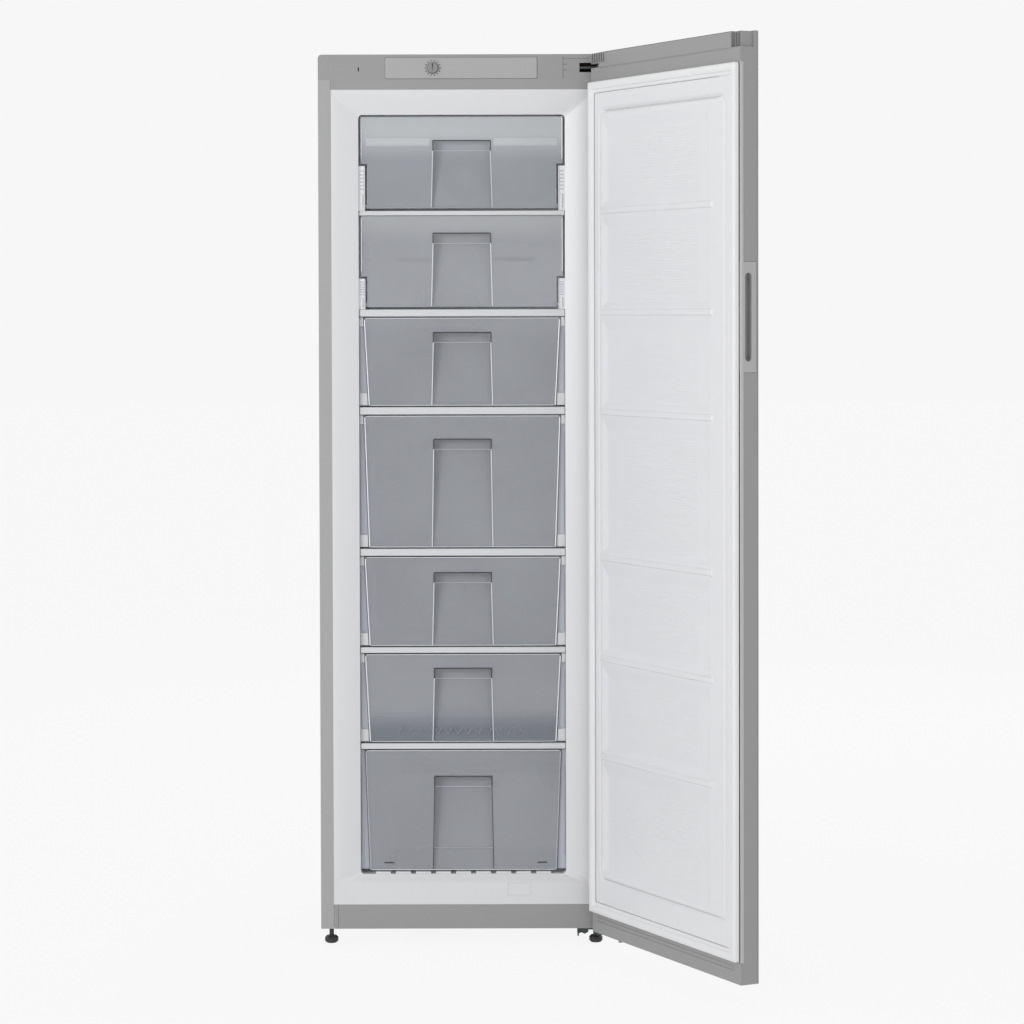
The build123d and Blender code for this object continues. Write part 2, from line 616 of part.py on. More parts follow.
def thermostat():
    """Control body behind the panel, with the bore that carries the knob's shaft."""
    y_from = FRONT + FASCIA_T + SEAM
    body = block((KNOB_X - THERMO_W / 2, KNOB_X + THERMO_W / 2), (y_from, y_from + THERMO_DEEP),
                 (PANEL_Z - THERMO_H / 2, PANEL_Z + THERMO_H / 2))
    body = fillet(edges_along(body, Axis.Y), THERMO_R)
    return body - rod(SHAFT_R + FIT, (KNOB_X, y_from - CUT, PANEL_Z),
                      (KNOB_X, FRONT + FASCIA_T + SHAFT_LONG + 2 * MOVE, PANEL_Z))


def thermostat_knob():
    """Round knob with a coin slot as its pointer, on its shaft."""
    y_out = FRONT - PANEL_PROUD - SEAM
    cap = rod(KNOB_R, (KNOB_X, y_out - KNOB_H, PANEL_Z), (KNOB_X, y_out, PANEL_Z))
    cap = chamfer(cap.edges().group_by(Axis.Y)[0], KNOB_EDGE)
    slot = block((KNOB_X - KNOB_SLOT_W / 2, KNOB_X + KNOB_SLOT_W / 2),
                 (y_out - KNOB_H - CUT, y_out - KNOB_H + KNOB_SLOT_DEEP),
                 (PANEL_Z - KNOB_R + 2 * KNOB_RIM, PANEL_Z + KNOB_R - KNOB_RIM))
    return (cap - slot) + rod(SHAFT_R, (KNOB_X, y_out - CUT, PANEL_Z),
                              (KNOB_X, FRONT + FASCIA_T + SHAFT_LONG, PANEL_Z))


# ================================================================== hinges
def top_hinge():
    """Plate on the brow of the carcass, an arm out to the axis, and the pin that hangs in the door."""
    low, high = ARM_Z - ARM_T / 2, ARM_Z + ARM_T / 2
    x_from, y_to = HALF - COVER_W + PLATE_IN, FRONT + PLATE_DEEP
    plate = block((x_from, HALF - FASCIA_T - SEAM), (FRONT + COVER_PLATE + SEAM, y_to), (low, high))
    foot = block((x_from, x_from + PLATE_FOOT_W), (FRONT + PLATE_FOOT_Y, y_to), (FASCIA_Z, high))
    arm = block((PIN_X - ARM_W / 2, PIN_X + ARM_W / 2), (PIN_Y, FRONT + ARM_ROOT), (low, high))
    eye = rod(ARM_W / 2, (PIN_X, PIN_Y, low), (PIN_X, PIN_Y, high))
    pin = rod(PIN_R, (PIN_X, PIN_Y, low - PIN_LONG), (PIN_X, PIN_Y, high))
    return plate.fuse(foot, arm, eye, pin)


def bottom_hinge():
    """Folded steel channel under the carcass, with the foot's thread, the arm and the upright pin."""
    low = HINGE_HIGH - HINGE_T
    drop = HINGE_T + MOVE / 2
    x_arm, x_to, y_to = PIN_X - HINGE_ARM_W / 2, HALF - MOVE, FRONT + HINGE_DEEP
    plate = block((HINGE_X, x_to), (FRONT + HINGE_T, y_to), (low, HINGE_HIGH))
    arm = block((x_arm, x_to), (PIN_Y, FRONT + HINGE_T), (low - drop, HINGE_HIGH - drop))
    joggle = block((x_arm, x_to), (FRONT, FRONT + 2 * HINGE_T), (low - drop, HINGE_HIGH))
    eye = rod(PIN_IN - MOVE, (PIN_X, PIN_Y, low - drop), (PIN_X, PIN_Y, HINGE_HIGH - drop))
    flange = across([(FRONT + HINGE_T, HINGE_HIGH), (y_to, HINGE_HIGH), (y_to - HINGE_DEEP / 3, HINGE_LOW),
                     (FRONT + 2 * HINGE_T, HINGE_LOW)], HINGE_X, HINGE_X + HINGE_T)
    pin = rod(PIN_R, (PIN_X, PIN_Y, low - drop), (PIN_X, PIN_Y, DOOR_BOTTOM + PIN_LONG))
    bore = rod(STEM_R + FIT, (FOOT_X, FOOT_Y, HINGE_LOW), (FOOT_X, FOOT_Y, BASE_Z + CUT))
    return plate.fuse(arm, joggle, eye, flange, pin) - bore


def hinge_screws():
    """Hexagon heads that hold the two hinges."""
    top_z, foot_z = ARM_Z + ARM_T / 2, HINGE_HIGH - HINGE_T - SCREW_H
    back_y = FRONT + HINGE_DEEP - SCREW_IN
    upper = [(HALF - COVER_W + SCREW_IN, y) for y in (back_y - SCREW_PITCH, back_y)]
    upper.append((HALF - SCREW_PITCH, back_y))
    lower = [(HINGE_X + SCREW_IN + i * SCREW_PITCH / 2, back_y) for i in range(3)]
    return [Pos(x, y, z) * extrude(RegularPolygon(SCREW_R, 6), SCREW_H)
            for row, z in ((upper, top_z), (lower, foot_z)) for x, y in row]


# ================================================================== door, built closed
def door_skin():
    """Folded steel front with returns on the inner face, notched for the hinge pockets and the grip."""
    outer = block((-HALF, HALF), (DOOR_OUT, DOOR_IN), (DOOR_BOTTOM, DOOR_TOP))
    outer = fillet(edges_along(outer, Axis.Z).group_by(Axis.Y)[0], DOOR_R)
    inner = block((-HALF + DOOR_SKIN, HALF - DOOR_SKIN), (DOOR_OUT + DOOR_SKIN, DOOR_IN + CUT),
                  (DOOR_BOTTOM - CUT, DOOR_TOP + CUT))
    inner = fillet(edges_along(inner, Axis.Z).group_by(Axis.Y)[0], DOOR_R - DOOR_SKIN)
    lip = block((-HALF + DOOR_SKIN / 2, -HALF + RETURN_W), (DOOR_IN - DOOR_SKIN, DOOR_IN),
                (CAP_HIGH, CAP_LOW))
    notch = block((HALF - RETURN_W, HALF + CUT), (DOOR_IN - POCKET_DEEP, DOOR_IN + CUT),
                  (POCKET_Z, DOOR_TOP + CUT))
    slot = block((-HALF - CUT, -HALF + RETURN_W + CUT), (DOOR_IN - GRIP_TALL, DOOR_IN + CUT),
                 (GRIP_LOW, GRIP_HIGH))
    return (outer - inner).fuse(*both_sides(lip)) - both_sides(notch) - slot


def door_foam():
    """Foam core: the main slab, and the edge strips above, below and beside the grip."""
    x, split = HALF - DOOR_SKIN, -HALF + GRIP_DEEP + GRIP_BACK + SEAM
    y_from, y_to = DOOR_OUT + DOOR_SKIN, DOOR_IN - DOOR_SKIN
    main = block((split, x), (y_from, y_to), (CAP_HIGH, CAP_LOW))
    main = fillet(edges_along(main, Axis.Z).group_by(Axis.Y)[0].sort_by(Axis.X)[-1], DOOR_R - DOOR_SKIN)
    strips = []
    for low, high, y_end in ((CAP_HIGH, GRIP_LOW, y_to), (GRIP_LOW, GRIP_HIGH, DOOR_IN - GRIP_TALL),
                             (GRIP_HIGH, CAP_LOW, y_to)):
        strip = block((-x, split), (y_from, y_end), (low, high))
        edge = edges_along(strip, Axis.Z).group_by(Axis.Y)[0].sort_by(Axis.X)[0]
        strips.append(fillet(edge, DOOR_R - DOOR_SKIN))
    return [main, *strips]


def cap_blank(low, high):
    """The end cap's outside: it fills the skin's section between two heights."""
    x = HALF - DOOR_SKIN
    cap = block((-x, x), (DOOR_OUT + DOOR_SKIN, DOOR_IN), (low, high))
    return fillet(edges_along(cap, Axis.Z).group_by(Axis.Y)[0], DOOR_R - DOOR_SKIN)


def cap_line(x_from, x_to, high):
    """A moulded line along the inner face of a cap."""
    return block((x_from, x_to), (DOOR_IN - CAP_GROOVE_DEEP, DOOR_IN + CUT), (high - CAP_GROOVE_W, high))


def door_top_cap():
    """Upper end cap with a ribbed hinge pocket at each end, so that the door can hang on either side."""
    pocket = block((HALF - POCKET_W, HALF + CUT), (DOOR_IN - POCKET_DEEP, DOOR_IN + CUT),
                   (POCKET_Z, DOOR_TOP + CUT))
    bore = rod(PIN_R + FIT + BUSH_T, (PIN_X, PIN_Y, CAP_LOW - CUT), (PIN_X, PIN_Y, DOOR_TOP))
    line_x = HALF - POCKET_W - RIB_STEP
    cap = cap_blank(CAP_LOW, DOOR_TOP) - both_sides(pocket) - both_sides(bore)
    cap -= cap_line(-line_x, line_x, DOOR_TOP - CAP_GROOVE_DOWN)
    ribs = []
    for i in range(POCKET_RIBS):
        x_rib = HALF - POCKET_W + RIB_STEP * (i + 0.5)
        rib = block((-x_rib - POCKET_RIB_T, -x_rib), (DOOR_IN - POCKET_DEEP, DOOR_IN - 2 * PANEL_T),
                    (POCKET_Z - PANEL_T, DOOR_TOP - MOVE))
        clear_of_arm = x_rib + POCKET_RIB_T < PIN_X - ARM_W / 2 - MOVE
        ribs += both_sides(rib) if clear_of_arm else [rib]
    return cap.fuse(*ribs)


def door_bottom_cap():
    """Lower end cap with two moulded lines, a bush hole at each end and the door stop."""
    bore = rod(PIN_R + FIT + BUSH_T, (PIN_X, PIN_Y, DOOR_BOTTOM - CUT), (PIN_X, PIN_Y, CAP_HIGH + CUT))
    line_x = HALF - FOOT_GROOVE_IN
    lines = [cap_line(-line_x, line_x, CAP_HIGH - FOOT_GROOVE_DOWN * (i + 1)) for i in range(2)]
    stop_x = PIN_X - STOP_IN
    stop = rod(STOP_R, (stop_x, PIN_Y, DOOR_BOTTOM - STOP_H), (stop_x, PIN_Y, DOOR_BOTTOM + STOP_H))
    return (cap_blank(DOOR_BOTTOM, CAP_HIGH) - both_sides(bore) - lines) + stop


def gasket_opening(grow):
    """Ranges along X and Z inside the gasket, grown by a margin."""
    x = HALF - GASKET_INSET - GASKET_W + grow
    seat = GASKET_SEAT + GASKET_W - grow
    return (-x, x), (CAP_HIGH + seat, CAP_LOW - seat)


def moulded_line(top):
    """A shallow groove round the field of cells, with sloping flanks."""
    x, low, high = HALF - LINE_SIDE, CAP_HIGH + LINE_FOOT, CAP_LOW - LINE_TOP

    def outline(y, grow):
        return rounded((-x - grow, x + grow), y, (low - grow, high + grow), PANEL_R + LINE_W + grow)

    wide, narrow = LINE_W / 2, LINE_W / 6
    outer = loft([outline(top, wide), outline(top - LINE_DEEP, narrow)])
    return outer - loft([outline(top + CUT / 2, -wide), outline(top - LINE_DEEP, -narrow)])


def panel_cell(top, low, high):
    """A dished cell of the inner panel, with flatter slopes towards the hinge and below its upper ridge."""
    x_free, x_hinge = -HALF + CELL_FREE, HALF - CELL_HINGE
    rim = rounded((x_free, x_hinge), top, (low, high), CELL_R)
    floor = rounded((x_free + SLOPE_FREE, x_hinge - SLOPE_HINGE), top - CELL_DEEP,
                    (low + SLOPE_FOOT, high - SLOPE_TOP), CELL_R)
    return loft([rim, floor])


def door_liner():
    """Formed inner panel: a rim under the gasket and a raised field of dished cells, split by ridges."""
    rim_x = HALF - RETURN_W - SEAM
    base = block((-rim_x, rim_x), (DOOR_IN - DOOR_SKIN, DOOR_IN + PANEL_T), (CAP_HIGH, CAP_LOW))
    top = DOOR_IN + PANEL_T + PANEL_RISE
    x, z = gasket_opening(-PANEL_OFF)
    field = fillet(edges_along(block(x, (DOOR_IN, top), z), Axis.Y), PANEL_R)
    field = fillet(field.faces().sort_by(Axis.Y)[-1].edges(), PANEL_RISE / 2)
    ridges = [SHELF_Z[level] + TRIM_H[level] / 2 - RIDGE_UNDER[level] for level in range(len(SHELF_Z))]
    low, high = CAP_HIGH + LINE_FOOT + CELL_EDGE, CAP_LOW - LINE_TOP - CELL_EDGE
    tops = [high] + [middle - RIDGE_H / 2 for middle in ridges]
    feet = [middle + RIDGE_H / 2 for middle in ridges] + [low]
    cells = [panel_cell(top, foot, head) for foot, head in zip(feet, tops)]
    bars = []
    for middle in ridges:
        bar = block((-HALF + CELL_FREE - RIDGE_LONG, HALF - CELL_HINGE), (top - RIDGE_RISE, top + RIDGE_RISE),
                    (middle - RIDGE_H / 2 + MOVE, middle + RIDGE_H / 2 - MOVE))
        bars.append(chamfer(bar.faces().sort_by(Axis.Y)[-1].edges(), RIDGE_RISE - SEAM / 2))
    return (base.fuse(field) - cells - moulded_line(top)).fuse(*bars)


def door_gasket():
    """Magnetic seal: a hollow white extrusion mitred round the inner panel."""
    x, z = gasket_opening(GASKET_W)
    ring = fillet(edges_along(block(x, (DOOR_IN, DOOR_IN + GASKET_T), z), Axis.Y), GASKET_R)
    ring = fillet(ring.faces().sort_by(Axis.Y)[-1].edges(), GASKET_R - MOVE)
    x, z = gasket_opening(0)
    hole = fillet(edges_along(block(x, (DOOR_IN - CUT, DOOR_IN + GASKET_T + CUT), z), Axis.Y), GASKET_R / 2)
    under = block((-HALF + RETURN_W, HALF - RETURN_W), (DOOR_IN - CUT, DOOR_IN + PANEL_T),
                  (CAP_HIGH - CUT, CAP_LOW + CUT))
    return ring - hole - under


def door_handle():
    """Recessed grip insert in the free edge."""
    body = block((-HALF, -HALF + GRIP_DEEP + GRIP_BACK), (DOOR_IN - GRIP_TALL + SEAM, DOOR_IN),
                 (GRIP_LOW + SEAM, GRIP_HIGH - SEAM))
    body -= block((-HALF + RETURN_W, HALF), (DOOR_IN - DOOR_SKIN, DOOR_IN + CUT), (GRIP_LOW, GRIP_HIGH))
    face = Plane(origin=(-HALF - CUT, DOOR_IN - GRIP_TALL / 2, GRIP_Z), x_dir=(0, 0, 1), z_dir=(1, 0, 0))
    return body - extrude(face * SlotOverall(GRIP_SLOT, GRIP_SLOT_W), GRIP_DEEP + CUT)


def door_bushes():
    """Flangeless bushes pressed into the caps, one at each end of the hinge axis."""
    spans = [(POCKET_Z - PIN_LONG, POCKET_Z), (DOOR_BOTTOM, DOOR_BOTTOM + PIN_LONG + BUSH_ROOM)]
    bushes = []
    for low, high in spans:
        sleeve = rod(PIN_R + FIT + BUSH_T, (PIN_X, PIN_Y, low), (PIN_X, PIN_Y, high))
        bushes.append(sleeve - rod(PIN_R + FIT, (PIN_X, PIN_Y, low - CUT), (PIN_X, PIN_Y, high + CUT)))
    return bushes


# ================================================================== shelves, flaps and drawers
def shelf_top(level):
    return SHELF_Z[level] + TRIM_H[level]


def shelf_glass(level):
    x = OPEN_HALF - SHELF_SIDE
    return block((-x, x), (SHELF_Y + TRIM_DEEP + SEAM, COVER_Y - MOVE),
                 (shelf_top(level) - GLASS_T, shelf_top(level)))


def shelf_trim(level):
    x = OPEN_HALF - SHELF_SIDE
    bar = block((-x, x), (SHELF_Y, SHELF_Y + TRIM_DEEP), (SHELF_Z[level], shelf_top(level)))
    return fillet(edges_along(bar, Axis.X).group_by(Axis.Y)[0], TRIM_R)


def flap_span(row):
    """Lowest and highest point of a flap front."""
    high = OPENING_TOP - FLAP_TOP_GAP if row == 0 else SHELF_Z[0] - MOVE
    return shelf_top(row) + FLAP_FOOT_GAP, high


def flap_pivot(row):
    """Height of a flap's pins: just above its foot."""
    return flap_span(row)[0] + 2 * FLAP_PIN_R


def grip_recess(top, low):
    """Scooped grip behind a front: deep under its top edge, shallow and open at the foot."""
    def scoop(wall, ahead, foot_z):
        deep, shallow = GRIP_IN - wall, GRIP_FOOT - wall
        section = across([(FACE_Y - ahead, top - wall), (FACE_Y + deep, top - wall),
                          (FACE_Y + deep, top - GRIP_BAND), (FACE_Y + shallow, foot_z),
                          (FACE_Y - ahead, foot_z)], -GRIP_W, GRIP_W)
        half, foot_half = GRIP_W / 2 - wall, GRIP_W / 2 + GRIP_FLARE - wall
        outline = Plane.XZ * make_face(Polyline((-half, top), (half, top), (foot_half, foot_z),
                                                (-foot_half, foot_z), close=True))
        return section & extrude(outline, DEPTH, both=True)
    return scoop(0, 0, low), scoop(BIN_T, CUT, low - CUT)


def flap(row):
    """Drop-down front: its lower corners are cut out round the cheeks that hold its pins."""
    low, high = flap_span(row)
    half = OPEN_HALF - FLAP_SIDE
    panel = block((-half, half), (FACE_Y, FACE_Y + FRONT_T), (low, high))
    box, hollow = grip_recess(high - GRIP_DROP[row], low)
    notch = block((-half - CUT, -OPEN_HALF + CHEEK_W + CHEEK_GAP), (FACE_Y - CUT, FACE_Y + FRONT_T + CUT),
                  (low - CUT, shelf_top(row) + CHEEK_H[row] + CHEEK_GAP))
    pin = rod(FLAP_PIN_R, (-half + MOVE, FACE_Y + FLAP_PIN_R, flap_pivot(row)),
              (-OPEN_HALF + CHEEK_W + 2 * CHEEK_GAP, FACE_Y + FLAP_PIN_R, flap_pivot(row)))
    return ((panel + box) - hollow - both_sides(notch)).fuse(*both_sides(pin))


def flap_bracket(row):
    """Pale cheek on the liner that carries one end of a flap."""
    bottom, y_from = shelf_top(row), FACE_Y - CHEEK_PROUD
    cheek = block((-OPEN_HALF, -OPEN_HALF + CHEEK_W), (y_from, y_from + CHEEK_DEEP),
                  (bottom, bottom + CHEEK_H[row]))
    cheek = fillet(edges_along(cheek, Axis.X), CHEEK_R)
    return cheek - rod(FLAP_PIN_R + FIT, (-OPEN_HALF + FLAP_SIDE, FACE_Y + FLAP_PIN_R, flap_pivot(row)),
                       (-OPEN_HALF + CHEEK_W + CUT, FACE_Y + FLAP_PIN_R, flap_pivot(row)))


def drawer_span(index):
    """Lowest and highest point of a drawer front."""
    high = SHELF_Z[index + 1] - DRAWER_TOP_GAP
    floor = OPENING_BOTTOM + STRIP_H if index == len(SHELF_Z) - 2 else shelf_top(index + 2)
    return floor + DRAWER_FOOT_GAP, high


def drawer_reach(index):
    """Where a bin begins and ends, front to back: the lowest stops short of the machine bay step."""
    lowest = index == len(SHELF_Z) - 2
    return FACE_Y + FRONT_T, STEP_Y - LOW_BIN_GAP if lowest else COVER_Y - BIN_GAP


def drawer_halves():
    """Half the width of a drawer at its top and at its foot."""
    return OPEN_HALF - DRAWER_SIDE, OPEN_HALF - DRAWER_SIDE - DRAWER_TAPER


def drawer_outline(index, y, inset):
    """Tapered outline of a drawer in the plane at y."""
    low, high = drawer_span(index)
    wide, narrow = drawer_halves()
    face = Plane(origin=(0, y, 0), x_dir=(1, 0, 0), z_dir=(0, -1, 0))
    return face * make_face(Polyline((-narrow + inset, low + inset), (narrow - inset, low + inset),
                                     (wide - inset, high), (-wide + inset, high), close=True))


def drawer_front(index):
    low, high = drawer_span(index)
    panel = extrude(drawer_outline(index, FACE_Y + FRONT_T, 0), FRONT_T)
    panel = fillet(edges_along(panel, Axis.Y), DRAWER_R)
    box, hollow = grip_recess(high - GRIP_DROP[index + 2], low)
    return (panel + box) - hollow


def drawer_bin(index):
    """Tub of floor, sides and back, closed by its front, on two runners."""
    low, high = drawer_span(index)
    y_from, y_to = drawer_reach(index)
    wide, narrow = drawer_halves()
    tub = extrude(drawer_outline(index, y_to, 0), y_to - y_from)
    hollow = extrude(drawer_outline(index, y_to - BIN_T, BIN_T), y_to - y_from)
    top = block((-wide - CUT, wide + CUT), (y_from - CUT, y_to + CUT), (high - BIN_DROP, high + CUT))
    beside = GRIP_W / 2 + GRIP_FLARE + SEAM
    grip = block((-beside, beside), (y_from - CUT, FACE_Y + GRIP_FOOT + MOVE), (low - CUT, low + 2 * BIN_T))
    runner = block((-narrow + RUNNER_IN, -narrow + RUNNER_IN + RUNNER_W),
                   (y_from + RUNNER_SHORT, y_to - RUNNER_SHORT),
                   (low - DRAWER_FOOT_GAP + SLIDE, low + BIN_T / 2))
    return (tub - hollow - top - grip).fuse(*both_sides(runner))


# ================================================================== rear air system
def evaporator_cover():
    """Upright duct panel with the fan grille and two air slots for each compartment."""
    x = OPEN_HALF - MOVE
    panel = block((-x, x), (COVER_Y, COVER_Y + COVER_T), (STEP_TOP, OPENING_TOP - MOVE))
    panel = fillet(edges_along(panel, Axis.Y).group_by(Axis.Z)[-1], OPENING_R)
    through = (COVER_Y - CUT, COVER_Y + COVER_T + CUT)
    rings = []
    for ring in range(GRILLE_RINGS):
        inner = FAN_HUB_R + ring * (GRILLE_SLOT + GRILLE_BAR)
        slot = rod(inner + GRILLE_SLOT, (0, through[0], FAN_Z), (0, through[1], FAN_Z))
        rings.append(slot - rod(inner, (0, through[0] - CUT, FAN_Z), (0, through[1] + CUT, FAN_Z)))
    spokes = [Pos(0, COVER_Y + COVER_T / 2, FAN_Z) * Rot(0, angle, 0)
              * Box(2 * (FAN_R + SPOKE_W), COVER_T, SPOKE_W) for angle in (0, 45, 90, 135)]
    slots = [block((side * AIR_SLOT_X - AIR_SLOT_W / 2, side * AIR_SLOT_X + AIR_SLOT_W / 2), through,
                   (z - AIR_SLOT_DOWN, z - AIR_SLOT_DOWN + AIR_SLOT_H))
             for z in SHELF_Z[:-1] for side in (-1, 1)]
    return (panel - rings - slots).fuse(*spokes)


def fan_rotor():
    """Axial rotor: a hub cup and pitched blades."""
    hub = rod(FAN_HUB_R, (0, ROTOR_Y, FAN_Z), (0, ROTOR_Y + ROTOR_T, FAN_Z))
    hub = chamfer(hub.edges().group_by(Axis.Y)[0], FAN_HUB_EDGE)
    root = FAN_HUB_R - FAN_HUB_EDGE
    blade = Pos((FAN_R + root) / 2, 0, 0) * Rot(BLADE_TWIST, 0, 0) * Box(FAN_R - root, BLADE_T, BLADE_W)
    blades = [Pos(0, ROTOR_Y + ROTOR_T / 2, FAN_Z) * Rot(0, 360 / FAN_BLADES * i, 0) * blade
              for i in range(FAN_BLADES)]
    bore = rod(MOTOR_SHAFT_R + FIT, (0, ROTOR_Y + ROTOR_T + MOTOR_GAP - MOTOR_SHAFT_LONG - MOVE / 2, FAN_Z),
               (0, ROTOR_Y + ROTOR_T + CUT, FAN_Z))
    return hub.fuse(*blades) - bore


def fan_motor():
    """Round motor on two crossed arms that stand on the liner's back."""
    y_from = ROTOR_Y + ROTOR_T + MOTOR_GAP
    body = rod(MOTOR_R, (0, y_from, FAN_Z), (0, LINER_BACK - MOTOR_ARM_T / 2, FAN_Z))
    shaft = rod(MOTOR_SHAFT_R, (0, y_from - MOTOR_SHAFT_LONG, FAN_Z), (0, y_from + CUT, FAN_Z))
    arms = [Pos(0, LINER_BACK - MOTOR_ARM_T / 2, FAN_Z) * Rot(0, angle, 0)
            * Box(2 * (FAN_R + MOTOR_ARM_OUT), MOTOR_ARM_T, MOTOR_ARM_W) for angle in (45, 135)]
    return body.fuse(shaft, *arms)


def serpentine(half, low, pitch, passes):
    """Level runs joined by half-round bends, in the XZ plane, from the lower left."""
    runs = []
    for i in range(passes):
        z = low + i * pitch
        side = 1 if i % 2 == 0 else -1
        runs.append(Line((-side * half, 0, z), (side * half, 0, z)))
        if i < passes - 1:
            middle = (side * (half + pitch / 2), 0, z + pitch / 2)
            runs.append(ThreePointArc((side * half, 0, z), middle, (side * half, 0, z + pitch)))
    return Wire(runs)


def tube_along(path, radius, sides=TUBE_SIDES):
    """A faceted tube along a path, with a flat of its section to the front and the back."""
    section = Plane(origin=path @ 0, z_dir=path % 0) * Rot(0, 0, 180 / sides) * RegularPolygon(radius, sides)
    return sweep(section, path=path)


def evaporator():
    """Finned coil: straight passes joined by return bends, through a row of plates."""
    y = (COVER_Y + COVER_T + LINER_BACK) / 2
    half, high = OPEN_HALF - EVAP_IN, OPENING_TOP - EVAP_DOWN
    low = high - EVAP_TALL
    path = serpentine(half, low, EVAP_TALL / (EVAP_PASSES - 1), EVAP_PASSES)
    coil = tube_along(Pos(0, y, 0) * path, EVAP_R)
    count = int(2 * (half - FIN_END) / FIN_PITCH) + 1
    fins = [Pos((i - (count - 1) / 2) * FIN_PITCH, 0, 0)
            * block((-FIN_T / 2, FIN_T / 2), (y - FIN_DEEP / 2, y + FIN_DEEP / 2),
                    (low - FIN_END, high + FIN_END))
            for i in range(count)]
    return coil.fuse(*fins)


def condenser():
    """Wire-on-tube condenser: a serpentine tube with upright wires welded on both faces."""
    half = COND_HALF - COND_PITCH / 2
    coil = tube_along(Pos(0, COND_Y, 0) * serpentine(half, COND_LOW, COND_PITCH, COND_PASSES), COND_R)
    flat = (coil.bounding_box().max.Y - coil.bounding_box().min.Y) / 2
    count = int(2 * half / WIRE_PITCH) + 1
    wires = [Pos((i - (count - 1) / 2) * WIRE_PITCH, COND_Y + side * (flat + WIRE_T / 2), 0)
             * block((-WIRE_T / 2, WIRE_T / 2), (-WIRE_T / 2, WIRE_T / 2),
                     (COND_LOW - WIRE_END, COND_HIGH + WIRE_END))
             for i in range(count) for side in (-1, 1)]
    return coil.fuse(*wires)


def condenser_brackets():
    """Clips that hold the condenser off the back panel."""
    y_to = COND_Y - COND_R - WIRE_T
    return [block((x - CLIP_W / 2, x + CLIP_W / 2), (BACK, y_to), (z - CLIP_H / 2, z + CLIP_H / 2))
            for x in (-COND_HALF + CLIP_IN, COND_HALF - CLIP_IN)
            for z in (COND_LOW + CLIP_UP, COND_HIGH - CLIP_UP)]


def comp_hole_columns():
    return [COMP_X - COMP_L / 2 + COMP_HOLE_X, COMP_X + COMP_L / 2 - COMP_HOLE_X]


def comp_hole_rows():
    return [COMP_Y - COMP_W / 2 + COMP_HOLE_Y, COMP_Y + COMP_W / 2 - COMP_HOLE_Y]


def comp_feet():
    return [(x, y) for x in comp_hole_columns() for y in comp_hole_rows()]


def compressor():
    """Hermetic compressor: two drawn half shells, welded at a seam, on a foot plate."""
    def oval(in_x, in_y, z):
        return Pos(COMP_X, COMP_Y, z) * Ellipse(COMP_L / 2 - in_x, COMP_W / 2 - in_y)

    bottom, shoulder, top = COMP_Z + COMP_BOTTOM, COMP_Z + COMP_H - COMP_CROWN, COMP_Z + COMP_H
    lower = loft([oval(COMP_CUP_IN, COMP_CUP_SIDE, COMP_Z), oval(COMP_SHELL_IN, COMP_SEAT, bottom)])
    drum = extrude(oval(COMP_SHELL_IN, COMP_SEAT, bottom), shoulder - bottom)
    crown = loft([oval(COMP_SHELL_IN, COMP_SEAT, shoulder), oval(COMP_CUP_IN, COMP_CUP_SIDE, top)])
    seam = extrude(oval(COMP_SHELL_IN - COMP_SEAM_PROUD, COMP_SEAT - COMP_SEAM_PROUD, COMP_Z + COMP_SEAM_UP),
                   COMP_SEAM_T)
    foot = block((COMP_X - COMP_L / 2, COMP_X + COMP_L / 2), (COMP_Y - COMP_W / 2, COMP_Y + COMP_W / 2),
                 (COMP_Z, COMP_Z + COMP_FOOT_T))
    foot = fillet(edges_along(foot, Axis.Z), COMP_FOOT_R)
    holes = [rod(COMP_HOLE_R, (x, y, COMP_Z - CUT), (x, y, COMP_Z + COMP_FOOT_T + CUT))
             for x, y in comp_feet()]
    return lower.fuse(drum, crown, seam, foot - holes)


def compressor_grommets():
    """Rubber mounts between the rails and the foot plate."""
    return [rod(GROMMET_R, (x, y, BASE_Z + RAIL_TALL), (x, y, COMP_Z)) for x, y in comp_feet()]


def terminal_box():
    """Box for the relay and the terminals, shaped to the compressor's end."""
    x = COMP_X - COMP_L / 2
    box = block((x - TERMINAL_OUT, x + TERMINAL_OUT), (COMP_Y - TERMINAL_W / 2, COMP_Y + TERMINAL_W / 2),
                (COMP_Z + TERMINAL_UP, COMP_Z + TERMINAL_UP + TERMINAL_H))
    return box - compressor()


def drip_tray():
    """Evaporating tray that rides on top of the compressor."""
    low = COMP_Z + COMP_H + SEAM

    def slab(inset, z_from, z_to, radius):
        x, y = TRAY_W / 2 - inset, TRAY_DEEP / 2 - inset
        plate = block((COMP_X - x, COMP_X + x), (COMP_Y - y, COMP_Y + y), (z_from, z_to))
        return fillet(edges_along(plate, Axis.Z), radius)

    hollow = slab(TRAY_T, low + TRAY_T, low + TRAY_H + CUT, TRAY_R - TRAY_T)
    return slab(0, low, low + TRAY_H, TRAY_R) - hollow


def bent_pipe(points, radius, bend):
    """A faceted pipe along straight runs joined by bends."""
    path = FilletPolyline(*points, radius=bend)
    return tube_along(path, radius, PIPE_SIDES)


